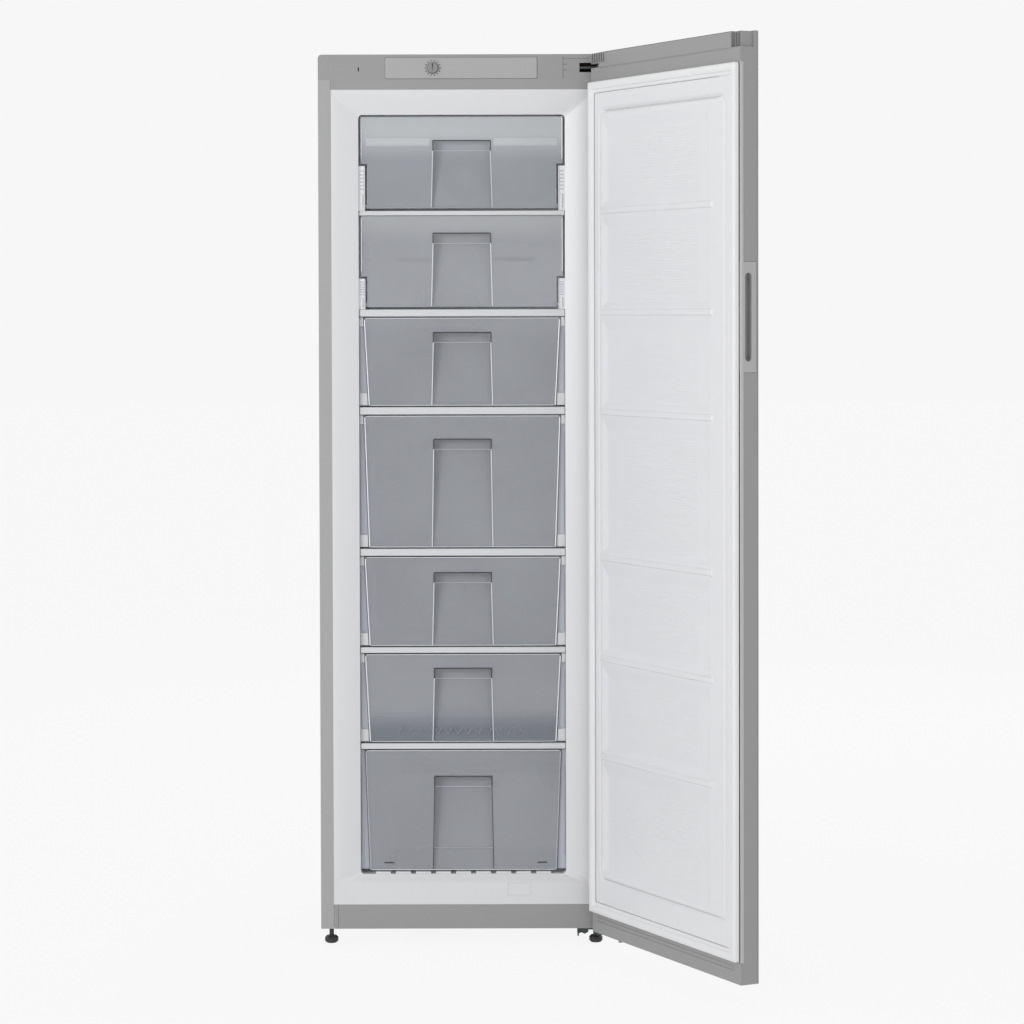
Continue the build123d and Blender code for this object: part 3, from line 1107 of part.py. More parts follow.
def refrigerant_pipes():
    """Discharge pipe to the condenser, liquid line with its filter drier, and the suction pipe."""
    shell_y, port_z = COMP_W / 2 - COMP_SEAT, COMP_Z + COMP_H / 3
    coil_x, outer_x = COND_HALF - COND_PITCH / 2, COND_HALF + 2 * COND_R + 4 * MOVE
    liquid_x, bay_y = outer_x + PIPE_BEND / 2, BACK - COMP_BACK / 3
    discharge = bent_pipe([(COMP_X, COMP_Y + shell_y, port_z), (COMP_X, COND_Y, port_z),
                           (-outer_x, COND_Y, port_z), (-outer_x, COND_Y, COND_LOW),
                           (-coil_x, COND_Y, COND_LOW)], PIPE_R, PIPE_BEND)
    liquid = bent_pipe([(coil_x, COND_Y, COND_HIGH), (liquid_x, COND_Y, COND_HIGH),
                        (liquid_x, COND_Y, port_z), (liquid_x, bay_y, port_z), (liquid_x, bay_y, BAY_TOP)],
                       COND_R, PIPE_BEND / 2)
    drier = rod(DRIER_R, (liquid_x, COND_Y, BAY_TOP - DRIER_LONG / 2),
                (liquid_x, COND_Y, BAY_TOP + DRIER_LONG / 2))
    suction_x, suction_y = COMP_X + PIPE_BEND, BAY_Y + 2 * PIPE_BEND / 3
    suction = bent_pipe([(suction_x, COMP_Y - shell_y + MOVE, port_z), (suction_x, suction_y, port_z),
                         (suction_x, suction_y, BAY_TOP)], PIPE_R, PIPE_BEND / 3)
    return [discharge, liquid + drier, suction]


# ================================================================== feet and rollers
def levelling_foot(side):
    """Screw foot: a fluted plastic disc on a threaded stem."""
    rim = FOOT_R - FOOT_EDGE
    corners = [(0, 0), (rim, 0), (FOOT_R, FOOT_EDGE), (FOOT_R, FOOT_H - FOOT_EDGE), (rim, FOOT_H),
               (STEM_R, FOOT_H), (STEM_R, STEM_LONG), (0, STEM_LONG)]
    profile = Plane.XZ * make_face(Polyline(*corners, close=True))
    flutes = [Rot(0, 0, 360 / FLUTES * i) * Pos(FOOT_R + FLUTE_OUT, 0, 0) * Cylinder(FLUTE_R, 3 * FOOT_H)
              for i in range(FLUTES)]
    return Pos(side * FOOT_X, FOOT_Y, 0) * (revolve(profile, Axis.Z) - flutes)


def rear_roller(side):
    x = side * ROLLER_X
    wheel = rod(ROLLER_R, (x - ROLLER_W / 2, ROLLER_Y, ROLLER_R), (x + ROLLER_W / 2, ROLLER_Y, ROLLER_R))
    wheel = chamfer(wheel.edges().filter_by(GeomType.CIRCLE), ROLLER_EDGE)
    return wheel - rod(AXLE_R + FIT, (x - ROLLER_W, ROLLER_Y, ROLLER_R), (x + ROLLER_W, ROLLER_Y, ROLLER_R))


def roller_axles():
    reach = ROLLER_W / 2 + MOVE + AXLE_END
    return both_sides(rod(AXLE_R, (-ROLLER_X - reach, ROLLER_Y, ROLLER_R),
                          (-ROLLER_X + reach, ROLLER_Y, ROLLER_R)))


# ================================================================== put together
keep("outer_shell", outer_shell())
keep("back_panel", back_panel())
keep("insulation_foam", *insulation_foam())
keep("inner_liner", inner_liner())
keep("front_rail", front_rail())
keep("kick_plate", kick_plate())
keep("base_frame", base_frame())
keep("fascia_frame", fascia_frame())
keep("control_panel", control_panel())
keep("hinge_blank_cover", hinge_blank_cover())
keep("hinge_cover", hinge_cover())
keep("thermostat", thermostat())
keep("thermostat_knob", thermostat_knob())
keep("top_hinge", top_hinge())
keep("bottom_hinge", bottom_hinge())
keep("hinge_screws", *hinge_screws())
for level in range(len(SHELF_Z)):
    keep(f"shelf_glass_{level + 1}", shelf_glass(level))
keep("shelf_trims", *[shelf_trim(level) for level in range(len(SHELF_Z))])
keep("flap_brackets", *[cheek for row in range(len(CHEEK_H)) for cheek in both_sides(flap_bracket(row))])
for row in range(len(CHEEK_H)):
    keep(f"flap_{row + 1}", flap(row))
for index in range(len(SHELF_Z) - 1):
    keep(f"drawer_{index + 1}_front", drawer_front(index))
    keep(f"drawer_{index + 1}_bin", drawer_bin(index))
keep("evaporator_cover", evaporator_cover())
keep("evaporator", evaporator())
keep("fan_motor", fan_motor())
keep("fan_rotor", fan_rotor())
keep("condenser", condenser())
keep("condenser_brackets", *condenser_brackets())
keep("compressor", compressor())
keep("compressor_grommets", *compressor_grommets())
keep("terminal_box", terminal_box())
keep("refrigerant_pipes", *refrigerant_pipes())
keep("drip_tray", drip_tray())
for name, side in (("left", -1), ("right", 1)):
    keep(f"foot_{name}", levelling_foot(side))
    keep(f"roller_{name}", rear_roller(side))
keep("roller_axles", *roller_axles())

for name, pieces in (("door_skin", [door_skin()]), ("door_foam", door_foam()),
                     ("door_top_cap", [door_top_cap()]), ("door_bottom_cap", [door_bottom_cap()]),
                     ("door_liner", [door_liner()]), ("door_gasket", [door_gasket()]),
                     ("door_handle", [door_handle()]), ("door_bushes", door_bushes())):
    keep(name, *[piece.rotate(HINGE, DOOR_OPEN) for piece in pieces])

for name, shape in PARTS.items():
    export_step(shape, f"parts/{name}.step")
print(len(PARTS), "nodes")
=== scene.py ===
# %% [markdown]
# # An upright freezer, dressed for its photograph
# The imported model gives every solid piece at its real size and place. This script keeps those places and gives
# each piece its finish, its softened edges and the small forms that only the eye needs. Every mesh is in metres,
# in the frame of the model: +X to the right, +Y to the back, +Z up, and the floor at zero.

# %% Load the frame
import bpy
import bmesh
import json
import numpy as np
from math import cos, pi, radians, sin
from mathutils import Matrix, Vector


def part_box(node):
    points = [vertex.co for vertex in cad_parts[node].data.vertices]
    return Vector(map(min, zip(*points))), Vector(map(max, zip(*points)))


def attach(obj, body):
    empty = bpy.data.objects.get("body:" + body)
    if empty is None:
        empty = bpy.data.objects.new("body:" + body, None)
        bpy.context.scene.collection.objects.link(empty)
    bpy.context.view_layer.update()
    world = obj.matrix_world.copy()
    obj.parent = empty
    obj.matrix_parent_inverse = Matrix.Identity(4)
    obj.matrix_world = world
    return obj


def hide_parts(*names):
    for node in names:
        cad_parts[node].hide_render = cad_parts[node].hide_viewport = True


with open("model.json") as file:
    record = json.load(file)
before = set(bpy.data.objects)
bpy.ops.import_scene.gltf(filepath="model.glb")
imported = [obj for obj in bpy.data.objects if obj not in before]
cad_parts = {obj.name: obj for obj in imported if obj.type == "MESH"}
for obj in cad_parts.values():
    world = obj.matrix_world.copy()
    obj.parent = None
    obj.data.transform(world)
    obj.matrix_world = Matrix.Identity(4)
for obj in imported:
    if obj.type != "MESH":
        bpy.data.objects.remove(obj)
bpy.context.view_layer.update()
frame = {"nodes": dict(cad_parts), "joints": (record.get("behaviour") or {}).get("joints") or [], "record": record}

nodes, bodies = frame["nodes"], frame["record"]["behaviour"]["bodies"]
body_of_node = {node: body for body, members in bodies.items() for node in members}
slot_of_node = {row["node"]: row["material_slot"] for row in frame["record"]["subparts"]}

# %% [markdown]
# ## Camera
# The picture was taken from about 6.5 m in front of the cabinet, a little right of its middle and at chest height.
# The lens points slightly down, and the film is shifted, which keeps the cabinet's sides upright. The numbers come
# from fitting a pinhole camera to the corners of the cabinet and its door.

# %% Camera
IMAGE = 1024                        # the picture is square
FOCAL_PIXELS = 3112.3               # focal length, in pixels of that picture
AXIS_U, AXIS_V = 511.5, 394.6       # where the lens axis meets the picture
SENSOR = 36.0
CAMERA_AT = Vector((0.1087, -6.7542, 1.3143))
PITCH_DOWN, YAW, ROLL = 0.0256, 0.0009, -0.0025

scene = bpy.context.scene
camera_data = bpy.data.cameras.new("camera")
camera_data.sensor_width = SENSOR
camera_data.lens = FOCAL_PIXELS / IMAGE * SENSOR
camera_data.shift_x = (IMAGE / 2 - AXIS_U) / IMAGE
camera_data.shift_y = (AXIS_V - IMAGE / 2) / IMAGE
camera = bpy.data.objects.new("camera", camera_data)
camera.matrix_world = (Matrix.Translation(CAMERA_AT) @ Matrix.Rotation(YAW, 4, "Z")
                       @ Matrix.Rotation(pi / 2 - PITCH_DOWN, 4, "X") @ Matrix.Rotation(ROLL, 4, "Z"))
scene.collection.objects.link(camera)
scene.camera = camera
scene.view_settings.view_transform = "Standard"
print("lens", round(camera_data.lens, 1), "mm")

# %% [markdown]
# ## Shader helpers
# A material here is a Principled shader with a few effects in front of it. An effect that several materials use is
# a node group with named sockets, so that each material sets its own values. The groups put out only colours,
# masks and normals.

# %% Node helpers
def node(tree, kind, **settings):
    """A node of a kind, with attributes or input values set by name."""
    made = tree.nodes.new(kind)
    for key, value in settings.items():
        if hasattr(made, key):
            setattr(made, key, value)
        else:
            made.inputs[key.replace("_", " ")].default_value = value
    return made


def wire(tree, *links):
    """Links between nodes, each as (giving node, output, taking node, input)."""
    for giver, output, taker, socket in links:
        tree.links.new(giver.outputs[output], taker.inputs[socket])


def reckon(tree, operation, *values):
    """The result of a maths node. Its values are results of other nodes, or numbers."""
    made = node(tree, "ShaderNodeMath", operation=operation)
    for socket, value in zip(made.inputs, values):
        if isinstance(value, float):
            socket.default_value = value
        else:
            tree.links.new(value, socket)
    return made.outputs[0]


def new_group(name, inputs, outputs):
    """An empty shader group: inputs are (name, socket type, default), outputs are (name, socket type)."""
    tree = bpy.data.node_groups.new(name, "ShaderNodeTree")
    for label, kind, default in inputs:
        tree.interface.new_socket(label, in_out="INPUT", socket_type=kind).default_value = default
    for label, kind in outputs:
        tree.interface.new_socket(label, in_out="OUTPUT", socket_type=kind)
    return tree, tree.nodes.new("NodeGroupInput"), tree.nodes.new("NodeGroupOutput")


# %% Grain group: moulded or sprayed surface, as a fine bump
FLOAT, COLOR, VECTOR = "NodeSocketFloat", "NodeSocketColor", "NodeSocketVector"


def grain_group():
    tree, inside, out = new_group("surface_grain", [("Scale", FLOAT, 800.0), ("Depth", FLOAT, 0.0001),
                                                    ("Strength", FLOAT, 0.3)], [("Normal", VECTOR), ("Mask", FLOAT)])
    place = node(tree, "ShaderNodeTexCoord")
    noise = node(tree, "ShaderNodeTexNoise", Detail=3.0, Roughness=0.6)
    bump = node(tree, "ShaderNodeBump")
    wire(tree, (place, "Object", noise, "Vector"), (inside, "Scale", noise, "Scale"),
               (noise, "Fac", bump, "Height"), (inside, "Depth", bump, "Distance"),
               (inside, "Strength", bump, "Strength"), (bump, "Normal", out, "Normal"),
               (noise, "Fac", out, "Mask"))
    return tree


# %% Tone group: a colour that drifts a little over the piece, with fine flecks
def tone_group():
    tree, inside, out = new_group("tone", [("Color", COLOR, (0.5, 0.5, 0.5, 1)), ("Drift", FLOAT, 0.04),
                                           ("Fleck", FLOAT, 0.02), ("Fleck Scale", FLOAT, 2500.0)],
                                  [("Color", COLOR), ("Mask", FLOAT)])
    place = node(tree, "ShaderNodeTexCoord")
    broad = node(tree, "ShaderNodeTexNoise", Scale=4.0, Detail=2.0)
    fine = node(tree, "ShaderNodeTexNoise", Detail=1.0)
    wire(tree, (place, "Object", broad, "Vector"), (place, "Object", fine, "Vector"),
               (inside, "Fleck Scale", fine, "Scale"))
    swings = []
    for noise, amount in ((broad, "Drift"), (fine, "Fleck")):
        centred = reckon(tree, "SUBTRACT", noise.outputs["Fac"], 0.5)
        swings.append(reckon(tree, "MULTIPLY", centred, inside.outputs[amount]))
    factor = reckon(tree, "ADD", reckon(tree, "ADD", *swings), 1.0)
    shade = node(tree, "ShaderNodeVectorMath", operation="SCALE")
    tree.links.new(factor, shade.inputs["Scale"])
    wire(tree, (inside, "Color", shade, 0), (shade, 0, out, "Color"), (broad, "Fac", out, "Mask"))
    return tree


# %% Edge, dust and light fade groups: masks for rubbed edges, for dust on what faces up, and for a band of heights over which a painted light or shade comes in
def edge_group():
    tree, inside, out = new_group("edge_rub", [("Radius", FLOAT, 0.001), ("Amount", FLOAT, 0.3)], [("Mask", FLOAT)])
    soft = node(tree, "ShaderNodeBevel", samples=4)
    true = node(tree, "ShaderNodeNewGeometry")
    dot = node(tree, "ShaderNodeVectorMath", operation="DOT_PRODUCT")
    ramp = node(tree, "ShaderNodeMapRange", From_Min=0.98, From_Max=0.8, To_Min=0.0)
    wire(tree, (inside, "Radius", soft, "Radius"), (soft, "Normal", dot, 0), (true, "Normal", dot, 1),
               (dot, "Value", ramp, "Value"), (inside, "Amount", ramp, "To Max"), (ramp, "Result", out, "Mask"))
    return tree


def dust_group():
    tree, inside, out = new_group("dust", [("Amount", FLOAT, 0.3), ("Scale", FLOAT, 60.0)], [("Mask", FLOAT)])
    place = node(tree, "ShaderNodeTexCoord")
    noise = node(tree, "ShaderNodeTexNoise", Detail=4.0)
    geometry = node(tree, "ShaderNodeNewGeometry")
    split = node(tree, "ShaderNodeSeparateXYZ")
    upward = node(tree, "ShaderNodeMapRange", From_Min=0.3, From_Max=1.0)
    wire(tree, (place, "Object", noise, "Vector"), (inside, "Scale", noise, "Scale"),
               (geometry, "Normal", split, 0), (split, "Z", upward, "Value"))
    patchy = reckon(tree, "MULTIPLY", upward.outputs["Result"], noise.outputs["Fac"])
    tree.links.new(reckon(tree, "MULTIPLY", patchy, inside.outputs["Amount"]), out.inputs["Mask"])
    return tree


def light_fade_group():
    tree, inside, out = new_group("light_fade", [("From Height", FLOAT, 0.0), ("To Height", FLOAT, 1.0)], [("Mask", FLOAT)])
    place = node(tree, "ShaderNodeTexCoord")
    split = node(tree, "ShaderNodeSeparateXYZ")
    ramp = node(tree, "ShaderNodeMapRange", interpolation_type="SMOOTHSTEP")
    wire(tree, (place, "Object", split, 0), (split, "Z", ramp, "Value"),
               (inside, "From Height", ramp, "From Min"), (inside, "To Height", ramp, "From Max"),
               (ramp, "Result", out, "Mask"))
    return tree


GRAIN, TONE, EDGE, DUST, LIGHT_FADE = grain_group(), tone_group(), edge_group(), dust_group(), light_fade_group()


# %% [markdown]
# ## Finishes
# One helper builds the common stack: a base colour that drifts, an edge tint where handling rubs it, dust on
# upward faces, a roughness that follows the same drift, and a fine grain. Each finish of this freezer is then one
# short call with its own values.

# %% The common stack
def finish(name, color, rough, metallic=0.0, drift=0.04, fleck=0.02, fleck_scale=2500.0, grain=(900.0, 0.00008, 0.25),
           rub=None, dust=None, light_fade=None, coat=0.0):
    """A material with the common stack. rub, dust and light_fade are each (tint, values of the mask group);
    light_fade is painted light or shade over a band of heights.
    """
    material = bpy.data.materials.new(name)
    material.use_nodes = True
    tree = material.node_tree
    shader = tree.nodes["Principled BSDF"]
    shader.inputs["Metallic"].default_value = metallic
    shader.inputs["Coat Weight"].default_value = coat
    tone = node(tree, "ShaderNodeGroup", node_tree=TONE, Color=(*color, 1), Drift=drift, Fleck=fleck,
                Fleck_Scale=fleck_scale)
    last = tone.outputs["Color"]
    for mask_group, values in ((LIGHT_FADE, light_fade), (EDGE, rub), (DUST, dust)):
        if values is None:
            continue
        tint, settings = values
        mask = node(tree, "ShaderNodeGroup", node_tree=mask_group, **settings)
        mix = node(tree, "ShaderNodeMix", data_type="RGBA")
        wire(tree, (mask, "Mask", mix, "Factor"))
        tree.links.new(last, mix.inputs[6])
        mix.inputs[7].default_value = (*tint, 1)
        last = mix.outputs[2]
    tree.links.new(last, shader.inputs["Base Color"])
    spread = node(tree, "ShaderNodeMapRange", To_Min=rough * 0.85, To_Max=rough * 1.15)
    wire(tree, (tone, "Mask", spread, "Value"), (spread, "Result", shader, "Roughness"))
    scale, depth, strength = grain
    bump = node(tree, "ShaderNodeGroup", node_tree=GRAIN, Scale=scale, Depth=depth, Strength=strength)
    wire(tree, (bump, "Normal", shader, "Normal"))
    return material


# %% Metals and paints
SPRAYED = (450.0, 0.00006, 0.25)    # grain of a sprayed coat: scale, depth, strength
MOULDED = (1400.0, 0.0001, 0.35)    # and of a fine mould
LIGHT_WEAR = dict(Radius=0.0006, Amount=0.25)


def grey(level):
    return (level, level, level)


def sheet_paint(name, level, worn):
    """Satin grey paint on sheet steel, a little brighter along its edges."""
    return finish(name, grey(level), 0.36, metallic=0.12, fleck=0.05, grain=SPRAYED, rub=(worn, LIGHT_WEAR),
                  coat=0.15)


WORN_GREY = (0.42, 0.425, 0.43)
painted_steel = sheet_paint("painted_steel", 0.388, (0.45, 0.455, 0.46))
zinc = finish("zinc", (0.055, 0.068, 0.068), 0.42, metallic=0.45, drift=0.5, fleck=0.15, fleck_scale=300.0,
              grain=(700.0, 0.0001, 0.3), rub=((0.2, 0.21, 0.21), dict(Radius=0.0006, Amount=0.4)))
bright_zinc = finish("bright_zinc", (0.42, 0.42, 0.40), 0.34, metallic=0.9, drift=0.3, fleck=0.12, fleck_scale=260.0,
                     grain=(600.0, 0.0001, 0.3), dust=((0.35, 0.33, 0.3), dict(Amount=0.4, Scale=90.0)))
black_enamel = finish("black_enamel", (0.016, 0.016, 0.017), 0.32, drift=0.3, fleck=0.2,
                      grain=(500.0, 0.00012, 0.4), rub=((0.09, 0.09, 0.09), dict(Radius=0.0008, Amount=0.5)),
                      dust=((0.2, 0.19, 0.18), dict(Amount=0.35, Scale=70.0)))
mill_aluminium = finish("mill_aluminium", (0.62, 0.63, 0.64), 0.35, metallic=0.95, drift=0.15, fleck=0.1,
                        grain=(1200.0, 0.00004, 0.3))
copper = finish("copper", (0.42, 0.19, 0.11), 0.34, metallic=0.95, drift=0.6, fleck=0.2, fleck_scale=200.0,
                grain=(500.0, 0.00006, 0.25), dust=((0.16, 0.1, 0.07), dict(Amount=0.4, Scale=50.0)))
# The door skin and its cap block, the front rail and the kick plate are the shell's paint; these darker copies are
# painted shade.
shaded_door_paint = sheet_paint("shaded_door_paint", 0.32, WORN_GREY)
shaded_rail_paint = sheet_paint("shaded_rail_paint", 0.322, WORN_GREY)
# A paler copy of the paint: a painted highlight along the door's folded edge.
fold_highlight_paint = finish("fold_highlight_paint", grey(0.52), 0.34, metallic=0.12, fleck=0.05, grain=SPRAYED)
# A dark paint for seams and ticks, and for painted shade: the door's edge line and the grip's slot.
seam_and_shade_paint = finish("seam_and_shade_paint", (0.20, 0.203, 0.206), 0.42, fleck=0.05, grain=SPRAYED)
shade_paint = finish("shade_paint", (0.13, 0.132, 0.134), 0.42, fleck=0.05, grain=SPRAYED)

# %% Plastics and rubbers
GLOSSY = (500.0, 0.00008, 0.2)      # more grains: scale, depth, strength
SATIN = (1100.0, 0.00005, 0.2)
DRAWN_SHEET = (60.0, 0.0004, 0.08)  # the slow waves of a drawn sheet
SOFT_RUBBER = (900.0, 0.0001, 0.3)
grey_plastic = finish("grey_plastic", grey(0.32), 0.42, fleck=0.03, grain=MOULDED, rub=(WORN_GREY, LIGHT_WEAR))
silver_panel = finish("silver_panel", grey(0.405), 0.30, metallic=0.2, fleck=0.05, grain=SATIN,
                      rub=(grey(0.6), dict(Radius=0.0006, Amount=0.3)), coat=0.2)
white_liner = finish("white_liner", (0.735, 0.74, 0.755), 0.30, drift=0.03, fleck=0.008, grain=(60.0, 0.0004, 0.12))
# The door's panel is the liner's white plastic in a brighter copy: painted light on the door's inner side.
lit_door_white = finish("lit_door_white", (0.80, 0.805, 0.825), 0.30, drift=0.03, fleck=0.008, grain=DRAWN_SHEET)
handle_grey = finish("handle_grey", grey(0.45), 0.40, grain=MOULDED)
trim_white = finish("trim_white", (0.66, 0.675, 0.69), 0.28, drift=0.05, fleck=0.008, grain=GLOSSY)
door_shade = finish("door_shade", (0.60, 0.605, 0.615), 0.35, drift=0.03, grain=DRAWN_SHEET)
# Painted shade for the joint where the seal's lip meets the door's panel.
seal_lip_shade = finish("seal_lip_shade", (0.34, 0.345, 0.35), 0.45, grain=SOFT_RUBBER)
# The knob is the panel's silver plastic; this darker copy is painted shade on it.
shaded_knob_silver = finish("shaded_knob_silver", (0.27, 0.27, 0.272), 0.30, metallic=0.3, grain=SATIN)
white_trim = finish("white_trim", (0.80, 0.81, 0.82), 0.28, drift=0.03, fleck=0.008, grain=GLOSSY)
seal = finish("seal", (0.83, 0.835, 0.84), 0.5, drift=0.05, grain=SOFT_RUBBER,
              dust=((0.55, 0.54, 0.52), dict(Amount=0.15, Scale=120.0)))
black_plastic = finish("black_plastic", (0.022, 0.024, 0.025), 0.42, drift=0.2, grain=(1300.0, 0.00012, 0.4),
                       rub=((0.08, 0.08, 0.085), dict(Radius=0.0006, Amount=0.5)),
                       dust=((0.16, 0.155, 0.15), dict(Amount=0.25, Scale=80.0)))
black_rubber = finish("black_rubber", (0.018, 0.018, 0.018), 0.62, drift=0.3, grain=(900.0, 0.00015, 0.45),
                      dust=((0.15, 0.145, 0.14), dict(Amount=0.3, Scale=80.0)))
foam_core = finish("foam_core", (0.70, 0.58, 0.36), 0.75, drift=0.12, fleck=0.12, fleck_scale=700.0,
                   grain=(420.0, 0.0006, 0.6))


# %% [markdown]
# ## See-through finishes
# The flaps and drawers are thin walls of a cloudy, slightly blue plastic, and the shelves are toughened glass with a
# green edge. A thin wall hardly bends what is seen through it, but it must let the light reach the white walls
# behind. So both are gloss surfaces of low opacity instead of refracting bodies. A wall has two faces, and each of
# them takes its share of the light, so the opacity of one face is about half of what the wall should have.

# %% Clear plastic and glass
def clear(name, color, rough, opacity, grain, light_fade=None):
    """A cloudy thin plastic wall."""
    material = finish(name, color, rough, drift=0.30, fleck=0.02, grain=grain, coat=0.3, light_fade=light_fade)
    material.node_tree.nodes["Principled BSDF"].inputs["Alpha"].default_value = opacity
    return material


SMOOTH_WAVE = (60.0, 0.0003, 0.03)
# Flap 1, flap 2 and drawer 4 are the front's plastic in their own tones, with painted light: the flaps paler towards
# their tops as a painted highlight, drawer 4 darker towards its foot as painted shade.
clear_flap_1 = clear("clear_flap_1", (0.46, 0.48, 0.52), 0.16, 0.50, SMOOTH_WAVE,
                     ((0.74, 0.77, 0.80), dict(From_Height=1.63, To_Height=1.70)))
clear_flap_2 = clear("clear_flap_2", (0.57, 0.59, 0.63), 0.16, 0.38, SMOOTH_WAVE,
                     ((0.70, 0.72, 0.75), dict(From_Height=1.46, To_Height=1.52)))
clear_front_4 = clear("clear_front_4", (0.54, 0.56, 0.60), 0.20, 0.40, SMOOTH_WAVE,
                      ((0.34, 0.37, 0.42), dict(From_Height=0.50, To_Height=0.44)))
# A pale clear plastic whose colour is a painted highlight, on the upper flap's ribs.
glint = clear("glint", (0.92, 0.94, 0.96), 0.12, 0.25, SMOOTH_WAVE)
clear_front = clear("clear_front", (0.52, 0.54, 0.58), 0.20, 0.40, SMOOTH_WAVE)
clear_bin = clear("clear_bin", (0.55, 0.59, 0.66), 0.20, 0.12, SMOOTH_WAVE)
shelf_glass = clear("shelf_glass", (0.62, 0.72, 0.70), 0.05, 0.16, (40.0, 0.0002, 0.05))

FINISH = {
    "grey_steel": painted_steel, "grey_plastic": grey_plastic, "silver_plastic": silver_panel,
    "white_liner": white_liner, "white_trim": white_trim, "clear_front": clear_front, "shelf_glass": shelf_glass,
    "seal_rubber": seal, "foam": foam_core, "zinc_steel": bright_zinc, "black_steel": black_enamel,
    "aluminium": mill_aluminium, "copper": copper, "black_plastic": black_plastic, "black_rubber": black_rubber,
}
SPECIAL = {"bottom_hinge": zinc, "top_hinge": zinc, "flap_1": clear_flap_1, "flap_2": clear_flap_2,
           "drawer_4_front": clear_front_4, "shelf_trims": trim_white, "thermostat_knob": shaded_knob_silver,
           "door_skin": shaded_door_paint, "door_handle": handle_grey, "front_rail": shaded_rail_paint, "kick_plate": shaded_rail_paint}
SPECIAL.update({f"drawer_{number}_bin": clear_bin for number in range(1, 6)})


# %% [markdown]
# ## Carried-over nodes
# A solid from the model has knife-sharp edges, and real sheet metal and mouldings never do. So most nodes are
# copied, their triangles are merged back into faces, every real corner gets a small rounded edge, and the copy
# stands for the node. Pieces that nothing shows keep the model's own mesh and only get their finish.

# %% Copy a node with softened edges
WELD = 1e-5                 # points closer than this are one
FLAT = radians(0.5)         # faces within this angle are one face
CORNER = radians(32)        # edges sharper than this get rounded


def paint(piece, material):
    """Give a piece one material."""
    piece.data.materials.clear()
    piece.data.materials.append(material)


def settle(piece, body, slot, *stands_for):
    """Hang a finished piece on its body, and hide the nodes that it stands for."""
    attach(piece, body)
    if stands_for:
        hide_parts(*stands_for)


def new_piece(name, mesh):
    piece = bpy.data.objects.new(name, mesh)
    scene.collection.objects.link(piece)
    return piece


def plain_mesh(piece):
    """A plain mesh piece in the place of a curve, or of a piece with modifiers."""
    name = piece.name
    graph = bpy.context.evaluated_depsgraph_get()
    mesh = bpy.data.meshes.new_from_object(piece.evaluated_get(graph))
    bpy.data.objects.remove(piece)
    return new_piece(name, mesh)


def shade(piece, angle=40):
    """Point the faces outwards and shade them smooth, but for corners sharper than an angle in degrees."""
    work = bmesh.new()
    work.from_mesh(piece.data)
    bmesh.ops.recalc_face_normals(work, faces=work.faces)
    work.to_mesh(piece.data)
    work.free()
    piece.data.shade_smooth()
    piece.data.set_sharp_from_angle(angle=radians(angle))
    return piece


def soften(name, edge):
    """A copy of a node with merged faces and rounded edges."""
    mesh = nodes[name].data.copy()
    mesh.materials.clear()
    work = bmesh.new()
    work.from_mesh(mesh)
    bmesh.ops.remove_doubles(work, verts=work.verts, dist=WELD)
    bmesh.ops.dissolve_limit(work, angle_limit=FLAT, verts=work.verts, edges=work.edges)
    for face in work.faces:
        face.smooth = True
    work.to_mesh(mesh)
    work.free()
    piece = new_piece(f"{name}_finished", mesh)
    round_off = piece.modifiers.new("edges", "BEVEL")
    round_off.width = edge
    round_off.segments = 2
    round_off.limit_method = "ANGLE"
    round_off.angle_limit = CORNER
    piece.modifiers.new("even", "WEIGHTED_NORMAL")
    return plain_mesh(piece)


def own_finish(name):
    return SPECIAL.get(name) or FINISH[slot_of_node[name]]


def dress(name, edge):
    """Soften a node, give it its finish and let it stand for the node."""
    piece = soften(name, edge)
    paint(piece, own_finish(name))
    settle(piece, body_of_node[name], slot_of_node[name], name)


# %% Which nodes get which edge
EDGES = {
    0.00015: ["fascia_frame", "hinge_cover", "hinge_blank_cover", "front_rail"],
    0.0003: ["back_panel", "door_skin", "outer_shell", "kick_plate", "evaporator", "evaporator_cover"],
    0.0006: ["control_panel", "base_frame", "inner_liner", "flap_brackets", "door_bushes",
             "drip_tray", "top_hinge", "bottom_hinge", "condenser_brackets", "roller_axles", "fan_rotor",
             "fan_motor", "thermostat_knob", "flap_1", "flap_2"],
    0.0010: ["door_top_cap", "door_bottom_cap", "door_handle", "compressor", "compressor_grommets",
             "terminal_box", "foot_left", "foot_right", "roller_left", "roller_right", "shelf_trims"],
}
DRAWER_EDGE, GLASS_EDGE = 0.0007, 0.0005
for edge, names in EDGES.items():
    for name in names:
        dress(name, edge)
for name in nodes:
    if name.startswith("drawer_"):
        dress(name, DRAWER_EDGE)
    elif name.startswith("shelf_glass"):
        dress(name, GLASS_EDGE)
print(sum(len(names) for names in EDGES.values()), "nodes with rounded edges, and the drawers and shelves")

# %% [markdown]
# ## Tools for the pieces that are made here
# Four ways of building return again and again below. A relief is a grid whose points are lifted by a rule, which
# suits a formed plastic sheet. A ring is one cross-section carried round a rounded rectangle, which suits a seal.
# A prism is an outline given a depth, and a plate is a prism with a rectangle as its outline. A bead is a thin
# round line along a path. Lengths in these cells are written in millimetres, as a maker would write them, and
# turned into metres once.

# %% Reliefs, rings, prisms and beads
MM = 0.001


def ease(share):
    """0 below 0, 1 above 1, and a soft step between."""
    share = np.clip(share, 0.0, 1.0)
    return share * share * (3 - 2 * share)


def places(low, high, coarse, *fine):
    """Grid places along one side: coarse all over, finer within each (from, to, step)."""
    marks = [*np.arange(low, high, coarse), high]
    for start, stop, step in fine:
        marks = [mark for mark in marks if not start < mark < stop]
        marks += list(np.linspace(start, stop, int(round((stop - start) / step)) + 1))
    return np.unique(np.round(np.clip(marks, low, high), 3))


def mesh_piece(name, points, faces):
    """A piece from points in millimetres."""
    mesh = bpy.data.meshes.new(name)
    mesh.from_pydata([[value * MM for value in point] for point in points], [], faces)
    return new_piece(name, mesh)


